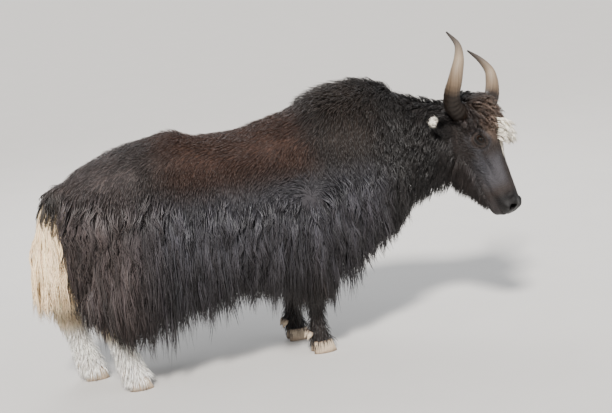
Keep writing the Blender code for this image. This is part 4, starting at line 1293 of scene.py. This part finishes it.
def growFace():
    curls = faded(there, pollCurls["where"], onFace)
    weight = faded(there, faceHair["where"], onFace) * (1 - curls * faceHair["curlsGap"])
    weight = weight * ramp(there["eye"], *faceHair["eyeEdge"])
    roots, normals = sow(faceHair["strands"], weight)
    down, aside, out = toHead(roots).T
    cheek = ramp(out, *faceHair["cheek"])
    front, turned = faceHair["flow"], faceHair["cheekFlow"]
    flow = headWays(front[0] + turned[0] * cheek, aside * front[1], front[2] + turned[2] * cheek)
    lies = unit(alongSurface(flow, normals) + strayed(faceHair["stray"], roots))
    share = faceHair["muzzleShare"] + faceHair["browShare"] * ramp(down, *faceHair["browEdge"])
    lengths = spread(*faceHair["length"], len(roots)) * share
    lengths *= 1 + faceHair["cheekExtra"] * cheek * ramp(down, *faceHair["cheekEdge"])
    lot = comb(roots, normals, lies, lengths, faceHair)
    for word, own in (("Right", aside < 0), ("Left", aside >= 0)):
        keep("faceHair" + word, "velvet", "head", lot, own)


beard = {
    "where": (("headX", 0.505, 0.45), ("headZ", -0.15, -0.2)), "behind": -0.12, "facing": (0.1, 0.6),
    "guides": 260, "strands": 4000, "segments": 6, "turning": 0.42, "rings": 4, "reach": (0.55, 1.06),
    "closing": (0.0, 0.6), "waves": (2.0, 6.0), "swing": 0.0045, "width": (0.0016, 0.0028), "thick": 0.36,
    # place down the head, length
    "twist": 1.1, "length": ((0.08, 0.105), (0.26, 0.1), (0.4, 0.055), (0.49, 0.022)), "curl": 0.004,
    "curlLength": (0.05, 0.09), "uneven": 0.3, "vary": (0.75, 1.1), "stray": 0.16, "clearance": (0.003, 0.01),
    "rise": 0.6, "start": np.array((-0.35, 0.1, -0.6)), "fall": np.array((-0.22, 0.06, -1.0)),
}


def growBeard():
    weight = (there["ahead"] > beard["behind"]) * (there["ear"] < 0)
    weight = weight * ramp(middleNormals @ headWays(0.0, 0.0, -1.0), *beard["facing"])
    weight = faded(there, beard["where"], weight)
    roots, normals = sow(beard["guides"], weight)
    lengths = np.interp(toHead(roots)[:, 0], *np.array(beard["length"]).T)
    lengths = lengths * spread(*beard["vary"], len(roots))
    starts = unit(normals * beard["rise"] + beard["start"])
    falls = unit(beard["fall"] + strayed(beard["stray"], roots))
    keep("jawBeard", "coarse", "head", locks(beard, weight, roots, normals, starts, falls, lengths))


earHair = {
    "strands": 1700, "rings": 3, "lift": (0.1, 0.3), "hug": 1.0, "sag": 0.1, "waves": (1.0, 4.0),
    "swing": 0.002, "width": (0.0018, 0.0032), "thick": 0.34, "twist": 1.0, "length": (0.014, 0.024),
    "from": 0.12, "share": 0.7, "tipShare": 1.4, "tipEdge": (0.75, 0.9),
    "lengthBy": (("ear", 0.6, 0.3, 0.3),), "tipExtra": 0.016, "extraEdge": (0.78, 0.9),
    "tipRise": np.array((-0.3, 0.0, 0.6)), "riseEdge": (0.8, 0.92), "off": 0.15, "stray": 0.25,
}


def growEars():
    for side, word in bothSides:
        aim = earAxes(side)[1]
        own = (there["ear"] > earHair["from"]) * (toHead(middles)[:, 1] * side > 0)
        weight = own * (earHair["share"] + earHair["tipShare"] * ramp(there["ear"], *earHair["tipEdge"]))
        roots, normals = sow(earHair["strands"], weight)
        known = measured(roots)
        rise = earHair["tipRise"] * ramp(known["ear"], *earHair["riseEdge"])[:, None]
        lies = unit(aim @ headTurn.T + rise + normals * earHair["off"] + strayed(earHair["stray"], roots))
        lengths = varied(spread(*earHair["length"], len(roots)), known, earHair["lengthBy"])
        lengths += earHair["tipExtra"] * ramp(known["ear"], *earHair["extraEdge"])
        keep("earHair" + word.title(), "pale", "ear_" + word, comb(roots, normals, lies, lengths, earHair))


lashes = {
    "strands": 46, "rings": 4, "lift": (0.05, 0.3), "hug": 0.0, "sag": 0.4, "waves": (0.0, 1.0),
    "swing": 0.0004, "width": (0.0011, 0.0016), "thick": 0.5, "twist": 0.3, "length": (0.011, 0.019),
    "arc": (0.1 * math.pi, 0.9 * math.pi), "inset": 0.001, "outset": 0.003, "off": 0.9, "fan": 0.45,
}


def growLashes():
    # along the upper lid's edge
    wide, high, lidThick, reach, drop = eyes["lids"][0]
    for side, word in bothSides:
        centre, outward, along, rise = eyeAxes(side)
        angles = spread(*lashes["arc"], lashes["strands"])[:, None]
        edge = along * wide * np.cos(angles) + rise * (high - lashes["inset"]) * np.sin(angles)
        roots = centre + edge + outward * (reach + lashes["outset"] - drop * wide * np.abs(np.cos(angles)))
        lies = unit(outward * lashes["off"] + edge / wide * lashes["fan"]) @ headTurn.T
        normals = np.tile(rise @ headTurn.T, (len(roots), 1))
        lot = comb(fromHead(roots), normals, lies, spread(*lashes["length"], len(roots)), lashes)
        keep("eyelashes" + word.title(), "coarse", "head", lot, tone="eyeRim")


for grow in (growPoll, growForelock, growFace, growBeard, growEars, growLashes):
    grow()
print("head combed")


# The tail's brush: dark at the root, cream below.
tailBrush = {
    "rootEdge": (-0.765, -0.8), "rootZ": 0.93, "fullZ": 0.74, "hem": 0.365, "shortest": 0.13,
    "guides": 260, "strands": 3700, "segments": 9, "turning": 0.4, "rings": 6, "reach": (0.66, 1.05),
    "closing": (0.0, 0.7), "waves": (3.0, 9.0), "swing": 0.012, "width": (0.0032, 0.0056), "thick": 0.32,
    "twist": 1.2, "curl": 0.014, "curlLength": (0.12, 0.22), "uneven": 0.25, "vary": (0.82, 1.04),
    "rise": (0.25, 0.85), "flare": (-0.06, 0.12), "clearance": (0.008, 0.06), "slack": 1.04,
    "rootShare": 0.1, "looseEdge": (0.88, 0.74),  # the root lies close, the brush stands off
    "start": np.array((0.0, 0.0, -0.8)), "fall": np.array((0.02, 0.0, -1.0)),
}


def growTail():
    weight = there["tail"] * ramp(there["x"], *tailBrush["rootEdge"])
    roots, normals = sow(tailBrush["guides"], weight)
    count = len(roots)
    height = roots[:, 2]
    share = ramp(height, tailBrush["rootZ"], tailBrush["fullZ"])
    lengths = tailBrush["shortest"] * (1 - share) + (height - tailBrush["hem"]) * tailBrush["slack"] * share
    lengths *= spread(*tailBrush["vary"], count)
    flat = normals * np.array((1.0, 1.0, 0.0))
    lower = tailBrush["rootShare"] + (1 - tailBrush["rootShare"]) * ramp(height, *tailBrush["looseEdge"])
    rise = spread(*tailBrush["rise"], count) * lower
    starts = unit(flat * rise[:, None] + tailBrush["start"])
    falls = unit(tailBrush["fall"] + flat * spread(*tailBrush["flare"], count)[:, None])
    clearances = spread(*tailBrush["clearance"], count) * lower
    lot = locks(tailBrush, weight, roots, normals, starts, falls, lengths, clearances)
    keep("tailBrush", "pale", "tail", lot)


growTail()
print("tail combed")


# Short hair of the legs, feathered over the hooves.
legHair = {
    "within": {"z": (0.052, 0.5), "fromWaist": (0.2, 9.0)},
    "sockEdge": (0.38, 0.33), "sockBehind": -0.3, "sockShare": 1.2, "sockExtra": 0.018, "hoofExtra": 0.01,
    "hoofEdge": (0.12, 0.07), "longest": 1.05,  # no longer than this share of the height above the floor
    "waist": -0.15,  # x between fore and hind legs
    "strands": 9000, "rings": 3, "lift": (0.25, 0.6), "hug": 0.4, "sag": 0.06, "waves": (0.0, 3.0),
    "swing": 0.003, "width": (0.0024, 0.0042), "thick": 0.34, "twist": 0.9, "length": (0.03, 0.046),
    "lie": np.array((-0.12, 0.0, -1.0)), "stray": 0.18,
}


def growLegs():
    onSock = (there["x"] < legHair["sockBehind"]) * ramp(there["z"], *legHair["sockEdge"])
    roots, normals = sow(legHair["strands"], within(legHair["within"]) * (1 + legHair["sockShare"] * onSock))
    x, y, z = roots.T
    sock = (x < legHair["sockBehind"]) * ramp(z, *legHair["sockEdge"])
    lengths = spread(*legHair["length"], len(roots)) + sock * legHair["sockExtra"]
    lengths += ramp(z, *legHair["hoofEdge"]) * legHair["hoofExtra"] * (1 + sock)
    lengths = np.minimum(lengths, legHair["longest"] * (z - floorGap))
    lies = unit(alongSurface(legHair["lie"], normals) + strayed(legHair["stray"], roots))
    lot = comb(roots, normals, lies, lengths, legHair)
    fore = x >= legHair["waist"]
    for end, finish, half in (("fore", "velvet", fore), ("hind", "pale", ~fore)):
        for side, word in bothSides:
            own = half & (y * side >= 0)
            keep(end + "LegHair" + word.title(), finish, "leg_%s_%s" % (end, word), lot, own)


growLegs()
print("legs combed")


# Strands become closed three-sided meshes.
weaving = {"lightRatio": 0.1, "seamAngle": math.radians(66), "islandGap": 0.002, "patchSize": 0.003}


def unwrapHide():
    # a light copy of the hide, laid out flat, that gives each root its place in the baked picture
    light = linked("unwrap", hide.data.copy())
    reduce = light.modifiers.new("reduce", "DECIMATE")
    reduce.ratio = weaving["lightRatio"]
    settle(light)
    bpy.context.view_layer.objects.active = light
    light.select_set(True)
    bpy.ops.object.mode_set(mode="EDIT")
    bpy.ops.mesh.select_all(action="SELECT")
    bpy.ops.uv.smart_project(angle_limit=weaving["seamAngle"], island_margin=weaving["islandGap"])
    bpy.ops.object.mode_set(mode="OBJECT")
    flat = np.empty(len(light.data.loops) * 2, np.float32)
    light.data.uv_layers.active.data.foreach_get("uv", flat)
    places = pointsOf(light)
    lightCorners = cornersOf(light.data)
    tree = BVHTree.FromPolygons([tuple(place) for place in places], lightCorners.tolist())
    flatCorners = flat.reshape(-1, 2)[cornersOf(light.data, "loops")]
    bpy.data.objects.remove(light)
    return tree, places[lightCorners], flatCorners


def flatPlaces(roots, unwrapped):
    tree, solidCorners, flatCorners = unwrapped
    found = [tree.find_nearest(root) for root in roots]
    faces = np.array([hit[2] for hit in found])
    spots = np.array([tuple(hit[0]) for hit in found])
    a, b, c = np.moveaxis(solidCorners[faces], 1, 0)
    whole = np.linalg.norm(np.cross(b - a, c - a), axis=1)
    weightA = np.linalg.norm(np.cross(b - spots, c - spots), axis=1) / whole
    weightB = np.linalg.norm(np.cross(c - spots, a - spots), axis=1) / whole
    weights = np.stack([weightA, weightB, 1 - weightA - weightB], axis=1)[..., None]
    return (flatCorners[faces] * weights).sum(1)


def strandPoints(bundle):
    # rings of three points down each strand, and one at the tip
    paths = bundle["paths"]
    count, rings = paths.shape[:2]
    tangents = unit(np.gradient(paths, axis=1))
    across = unit(np.cross(tangents, bundle["normals"][:, None] + np.zeros_like(tangents)))
    facing = np.cross(across, tangents)
    turn = bundle["twists"][:, None, None]
    across = across * np.cos(turn) + facing * np.sin(turn)
    facing = np.cross(across, tangents)
    share = np.linspace(0, 1, rings)
    profile = (0.75 + 1.1 * share - 1.62 * share**2)[None, :, None]
    half = bundle["widths"][:, None, None] * 0.5 * profile
    thick = half * 2 * bundle["look"]["thick"]
    sections = np.stack([paths - across * half, paths + across * half, paths + facing * thick], axis=2)
    points = np.empty((count, 3 * (rings - 1) + 1, 3))
    points[:, :-1] = sections[:, :-1].reshape(count, -1, 3)
    points[:, -1] = paths[:, -1]
    return points


def strandFaces(rings):
    faces = [(0, 1, 2)]
    last = 3 * (rings - 2)
    for start in range(0, last, 3):
        for side in range(3):
            a = start + side
            b = start + (side + 1) % 3
            faces += [(a, a + 3, b + 3), (a, b + 3, b)]
    for side in range(3):
        faces.append((last + side, last + 3, last + (side + 1) % 3))
    return np.array(faces)


def weave(bundle, unwrapped):
    points = strandPoints(bundle)
    count, each = points.shape[:2]
    rings = bundle["paths"].shape[1]
    faces = (strandFaces(rings)[None] + (np.arange(count) * each)[:, None, None]).reshape(-1, 3)
    down = np.append(np.repeat(np.linspace(0, 1, rings)[:-1], 3), 1.0)
    side = np.append(np.tile((0.0, 1.0, 0.5), rings - 1), 0.5)
    own = np.repeat(chance.random(count)[:, None], each, axis=1)
    place = np.stack([np.tile(side, (count, 1)), np.tile(down, (count, 1)), own], axis=-1)
    patch = (np.stack([side, down], axis=-1) - 0.5) * weaving["patchSize"]
    flat = (flatPlaces(bundle["roots"], unwrapped)[:, None] + patch[None]).reshape(-1, 2)
    mesh = bpy.data.meshes.new(bundle["piece"])
    mesh.vertices.add(count * each)
    mesh.vertices.foreach_set("co", (points.reshape(-1, 3) + bodyShift).astype(np.float32).ravel())
    mesh.loops.add(len(faces) * 3)
    mesh.loops.foreach_set("vertex_index", faces.astype(np.int32).ravel())
    mesh.polygons.add(len(faces))
    mesh.polygons.foreach_set("loop_start", np.arange(0, len(faces) * 3, 3, dtype=np.int32))
    mesh.update(calc_edges=True)
    mesh.shade_smooth()
    layer = mesh.uv_layers.new(name="OFBake")
    layer.data.foreach_set("uv", flat[faces.ravel()].astype(np.float32).ravel())
    attach(mesh, "hairTone", np.repeat(bundle["colour"], each, axis=0), "FLOAT_COLOR")
    attach(mesh, "strandPlace", place.reshape(-1, 3))
    mesh.materials.append(materials[bundle["finish"]])
    piece = linked(bundle["piece"], mesh)
    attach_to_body(piece, "root")
    print("  ", bundle["piece"], len(faces))
    return len(faces)


unwrapped = unwrapHide()
print("coat woven:", sum(weave(bundle, unwrapped) for bundle in bundles), "triangles")


def setPiece(name, shell, attribute, places, look, node, replacing=True):
    # a smooth piece on the root body that stands in for its solid, which is hidden when replacing
    points, faces = facingOut(shell)
    piece = newObject(name, points + bodyShift, faces)
    piece.data.shade_smooth()
    attach(piece.data, attribute, places)
    piece.data.materials.append(look)
    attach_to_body(piece, "root")
    if replacing:
        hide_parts(node)
    return piece


# Eyes: one wet ball each, with iris and a level pupil.
def eyeFinish():
    finish = Finish("wetDarkEye", Roughness=0.25, Specular_IOR_Level=0.05,
                    Coat_Weight=0.3, Coat_Roughness=0.03)
    place = finish.attribute("eyePlace", "Vector")
    radius = finish.length(finish.scaled(place, (1.0, 1.25, 0.0)))
    pupil = finish.length(finish.scaled(place, (1.0, 2.1, 0.0)))
    fibres = finish.noise(place, (14.0, 14.0, 3.0), 4.0, 0.65)
    iris = finish.coloured(fibres, ((0.3, (0.01, 0.005, 0.003)), (0.75, (0.034, 0.017, 0.009))))
    white = finish.coloured(fibres, ((0.3, (0.03, 0.02, 0.017)), (0.8, (0.075, 0.055, 0.045))))
    colour = finish.mixed("MIX", finish.between(radius, 0.0, 1.0, 0.7, 0.8), iris, white)
    black = (0.002, 0.002, 0.002, 1.0)
    colour = finish.mixed("MIX", finish.between(pupil, 1.0, 0.0, 0.46, 0.54), colour, black)
    # painted shade: the ball darkens towards its edge, under the lids
    return finish.done(finish.mixed("MULTIPLY", 1.0, colour, finish.between(radius, 0.35, 1.0, 0.72, 0.86)))


def makeEyes():
    look = eyeFinish()
    for side, word in bothSides:
        centre, outward, along = eyeAxes(side)[:3]
        axes = np.stack([along, np.cross(outward, along), outward], axis=1)
        points, faces = ballShell((0, 0, 0), (1.0, 1.0, 1.0), sides=64)
        flat = points[:, 0]**2 + points[:, 1]**2
        bulge = 1 + eyes["bulge"] * np.exp(-flat / 0.3) * (points[:, 2] > 0)
        placed = fromHead(points * bulge[:, None] * eyes["radius"] @ axes.T + centre)
        setPiece("eyeball" + word.title(), (placed, faces), "eyePlace", points, look, "eye_" + word)


makeEyes()
print("eyes set")


# Horns: ringed and tan at the base, darkened low down with painted shade, streaked grey-cream above, dark at
# the tip.
horns = {
    "right": (
        (0.06, -0.07, -0.095), (0.048, -0.125, -0.105), (0.012, -0.19, -0.104), (-0.025, -0.245, -0.073),
        (-0.057, -0.275, -0.036), (-0.094, -0.286, -0.004), (-0.15, -0.276, 0.032), (-0.215, -0.25, 0.047),
        (-0.297, -0.215, 0.021),
    ),
    "left": (
        (0.06, 0.07, -0.07), (0.05, 0.125, -0.055), (0.028, 0.18, -0.028), (-0.004, 0.23, 0.002),
        (-0.044, 0.258, 0.021), (-0.092, 0.275, 0.037), (-0.141, 0.274, 0.045), (-0.2, 0.246, 0.032),
        (-0.26, 0.2, 0.003),
    ),
    "radii": (0.043, 0.043, 0.04, 0.037, 0.034, 0.03, 0.023, 0.014, 0.004),
    "rings": 13, "ringsEnd": 0.62, "ringHeight": 0.001, "middleRadius": 0.036, "sides": 48, "steps": 14,
    # share of the length, shade
    "shades": (
        # the darkest band low on the horn is painted shade over its own dark tan base
        (0.0, (56, 38, 24)), (0.14, (26, 19, 13)), (0.38, (33, 25, 19)), (0.52, (108, 92, 75)),
        (0.74, (134, 119, 101)), (0.9, (78, 71, 65)), (1.0, (36, 33, 31)),
    ),
}


def shadeStops(stops):
    return [(place, tuple(shade(*levels))) for place, levels in stops]


def hornFinish():
    finish = Finish("streakedHorn", Specular_IOR_Level=0.3)
    place = finish.attribute("hornPlace", "Vector")
    streaks = finish.noise(place, (7.0, 7.0, 2.0), 5.0, 0.65)
    fine = finish.noise(place, (30.0, 30.0, 6.0), 3.0)
    wander = finish.worked("ADD", finish.part(place, "Z"), finish.between(streaks, -0.09, 0.09))
    colour = finish.coloured(wander, shadeStops(horns["shades"]))
    colour = finish.shaded(colour, streaks, (0.3, (0.66, 0.63, 0.6)), (0.7, (1.16, 1.15, 1.14)))
    colour = finish.shaded(colour, fine, (0.35, (0.7, 0.68, 0.66)), (0.65, (1.1, 1.1, 1.1)), amount=0.6)
    normal = finish.bumped(streaks, 0.35, 0.003, finish.bumped(fine, 0.35, 0.0012))
    return finish.done(colour, finish.between(streaks, 0.4, 0.62), normal)


def makeHorns():
    look = hornFinish()
    for side, word in bothSides:
        rows = [(*place, radius, radius) for place, radius in zip(horns[word], horns["radii"])]
        rings = tubeRings(rows, horns["sides"], horns["steps"], (0.0, 0.0, 1.0))
        share = np.linspace(0, 1, len(rings))
        wave = np.sin(math.tau * horns["rings"] * share / horns["ringsEnd"]) ** 3
        low = ramp(share, horns["ringsEnd"], 0.3) * ramp(share, 0.06, 0.14)
        swell = 1 + low * wave * horns["ringHeight"] / horns["middleRadius"]
        centres = rings.mean(1, keepdims=True)
        rings = centres + (rings - centres) * swell[:, None, None]
        angles = math.tau * np.arange(horns["sides"]) / horns["sides"]
        place = np.stack(np.broadcast_arrays(np.cos(angles), np.sin(angles), share[:, None]), axis=-1)
        place = np.vstack([place.reshape(-1, 3), (0, 0, 0), (0, 0, 1)])
        points, faces = shellThrough(rings)
        setPiece("horn" + word.title(), (fromHead(points), faces), "hornPlace", place, look, "horn_" + word)


makeHorns()
print("horns set")


# Hooves: two claws to each foot and two dewclaws behind.
hooves = {
    "length": 0.112, "width": 0.047, "parting": 0.007, "height": 0.058, "sides": 40, "levels": 14,
    "forward": 0.018, "toeSlope": 0.36, "heelSlope": 0.1, "taper": 0.14, "toeNarrow": 0.28,
    "soleReach": 0.98, "soleWidth": 0.96, "wall": 0.96, "wallSwell": 1.25, "edgeAngle": math.radians(50),
    # share of the height, shade
    # darker towards the sole and towards the top of the wall
    "shades": ((0.0, (112, 96, 80)), (0.25, (176, 158, 136)), (0.75, (190, 174, 152)), (1.0, (120, 104, 90))),
}


def hoofFinish():
    finish = Finish("greyBeigeHoof", Specular_IOR_Level=0.4)
    place = finish.attribute("hoofPlace", "Vector")
    rings = finish.noise(place, (12.0, 12.0, 420.0), 3.0)
    fibre = finish.noise(place, (420.0, 420.0, 22.0), 3.0)
    # blotchy noise that wobbles the bands and the roughness
    blotches = finish.noise(place, 42.0, 4.0, 0.65)
    height = finish.worked("ADD", finish.part(place, "Z"), finish.between(blotches, -0.012, 0.012))
    colour = finish.coloured(finish.between(height, 0.0, 1.0, 0.0, 0.06), shadeStops(hooves["shades"]))
    colour = finish.shaded(colour, rings, (0.35, (0.72, 0.7, 0.68)), (0.65, (1.12, 1.11, 1.1)), amount=0.8)
    colour = finish.shaded(colour, fibre, (0.35, (0.8, 0.78, 0.76)), (0.65, (1.08, 1.08, 1.08)), amount=0.7)
    normal = finish.bumped(fibre, 0.3, 0.0006, finish.bumped(rings, 0.5, 0.0014))
    return finish.done(colour, finish.between(blotches, 0.42, 0.66), normal)


def clawShell(footX, footY, side):
    middle = footY + side * (hooves["parting"] + hooves["width"]) / 2
    angles = math.tau * np.arange(hooves["sides"]) / hooves["sides"]
    forward = np.cos(angles)
    narrow = 1.0 - hooves["toeNarrow"] * np.clip(forward, 0, 1) ** 2
    rings = []
    for height in np.linspace(0, hooves["height"], hooves["levels"]):
        size = 1.0 - hooves["taper"] * height / hooves["height"]
        reach = np.where(forward > 0, 0.5 * hooves["length"] - hooves["toeSlope"] * height,
                         0.5 * hooves["length"] - hooves["heelSlope"] * height)
        if height == 0:
            size *= hooves["soleWidth"]
            reach = reach * hooves["soleReach"]
        x = footX + hooves["forward"] + reach * np.sign(forward) * np.abs(forward) ** 0.9
        y = 0.5 * hooves["width"] * size * narrow * np.sin(angles)
        wall = 0.5 * hooves["width"] * size * hooves["wall"]
        y = np.where(y * side < 0, np.clip(y * hooves["wallSwell"], -wall, wall), y)
        rings.append(np.stack([x, middle + y, height + 0 * x], axis=-1))
    return shellThrough(np.array(rings))


dewclaws = {
    "sizes": (0.8, 1.0, 0.9, 0.5, 0.15), "radius": 0.013, "behind": 0.04, "aside": 0.022, "height": 0.108,
    "backStep": 0.006, "downStep": 0.009, "sides": 16,
}


def dewclawShell(footX, footY, side):
    rows = []
    for step, size in enumerate(dewclaws["sizes"]):
        x = footX - dewclaws["behind"] - dewclaws["backStep"] * step
        z = dewclaws["height"] - dewclaws["downStep"] * step
        radius = dewclaws["radius"] * size
        rows.append((x, footY + side * dewclaws["aside"], z, radius, radius))
    return shellThrough(tubeRings(rows, dewclaws["sides"], 4))


def makeHooves():
    look = hoofFinish()
    for name, (shape, footX, footY) in legs["feet"].items():
        outer = math.copysign(1.0, footY)
        for side, word in ((outer, "outer"), (-outer, "inner")):
            title = "".join(part.title() for part in name.split("_")) + word.title()
            node = "claw_%s_%s" % (name, word)
            claw = clawShell(footX, footY, side)
            piece = setPiece("claw" + title, claw, "hoofPlace", claw[0], look, node)
            piece.data.set_sharp_from_angle(angle=hooves["edgeAngle"])
            dewclaw = dewclawShell(footX, footY, side)
            places = dewclaw[0] - np.array((0, 0, 0.05))
            setPiece("dewclaw" + title, dewclaw, "hoofPlace", places, look, node, replacing=False)


makeHooves()
print("hooves set")

movePoints(hide, hidePoints + bodyShift)
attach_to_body(hide, "root")
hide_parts("head", "neck", "forequarters", "barrel", "hindquarters", "tail", "ear_right", "ear_left",
            "leg_fore_right", "leg_fore_left", "leg_hind_right", "leg_hind_left")


# The studio: pale floor, broad soft lamps and the camera.
studio = {
    "floor": (0.5, 0.485, 0.465),
    "floorSize": 300,
    "world": (0.8, 0.83, 0.88),
    "worldStrength": 0.8,
    "key": {"from": (-2.4, -5.4, 5.6), "softness": 10.0, "strength": 8.2, "colour": (1.0, 0.965, 0.92)},
    # place, target, size, power, colour
    "lamps": (
        ((3.8, -3.0, 3.0), (0.8, 0.0, 0.8), 2.8, 90.0, (0.94, 0.96, 1.0)),
        ((0.5, 4.0, 4.4), (0.0, 0.0, 0.9), 3.2, 200.0, (0.96, 0.98, 1.0)),
    ),
}
view = {
    "target": np.array((0.339, 0.0, 0.6655)), "distance": 7.0, "lens": 87.61, "sensor": 36.0,
    "azimuth": -16.0, "elevation": 12.0, "roll": 6.5,
}


def setStudio():
    bpy.ops.mesh.primitive_plane_add(size=studio["floorSize"], location=(0, 0, 0))
    floor = bpy.context.active_object
    floor.name = "studioFloor"
    finish = Finish("paleFloor", Roughness=0.85)
    grain = finish.noise(finish.add("TexCoord").outputs["Object"], 3.0, 5.0)
    pale = studio["floor"]
    floor.data.materials.append(finish.done(finish.coloured(
        grain, ((0.3, tuple(0.97 * level for level in pale)), (0.7, pale)))))
    world = bpy.data.worlds.new("studioAir")
    world.use_nodes = True
    air = world.node_tree.nodes["Background"]
    air.inputs["Color"].default_value = (*studio["world"], 1.0)
    air.inputs["Strength"].default_value = studio["worldStrength"]
    bpy.context.scene.world = world
    key = bpy.data.lights.new("key", "SUN")
    key.energy = studio["key"]["strength"]
    key.angle = math.radians(studio["key"]["softness"])
    key.color = studio["key"]["colour"]
    holder = linked("key", key)
    holder.rotation_euler = Vector(studio["key"]["from"]).to_track_quat("Z", "Y").to_euler()
    for number, (place, target, size, power, colour) in enumerate(studio["lamps"]):
        lamp = bpy.data.lights.new("lamp%d" % number, "AREA")
        lamp.energy = power
        lamp.size = size
        lamp.color = colour
        holder = linked("lamp%d" % number, lamp)
        holder.location = place
        holder.rotation_euler = (Vector(target) - Vector(place)).to_track_quat("-Z", "Y").to_euler()


def setCamera():
    azimuth, elevation, roll = np.radians((view["azimuth"], view["elevation"], view["roll"]))
    back = np.array((math.sin(azimuth) * math.cos(elevation), -math.cos(azimuth) * math.cos(elevation),
                     math.sin(elevation)))
    level = np.array((math.cos(azimuth), math.sin(azimuth), 0.0))
    rise = np.cross(back, level)
    right = level * math.cos(roll) - rise * math.sin(roll)
    up = np.cross(back, right)
    place = view["target"] + back * view["distance"] + bodyShift
    data = bpy.data.cameras.new("camera")
    data.lens = view["lens"]
    data.sensor_width = view["sensor"]
    camera = linked("camera", data)
    matrix = Matrix.Identity(4)
    for column, way in enumerate((right, up, back, place)):
        for row in range(3):
            matrix[row][column] = way[row]
    camera.matrix_world = matrix
    bpy.context.scene.camera = camera


setStudio()
setCamera()
print("studio set")
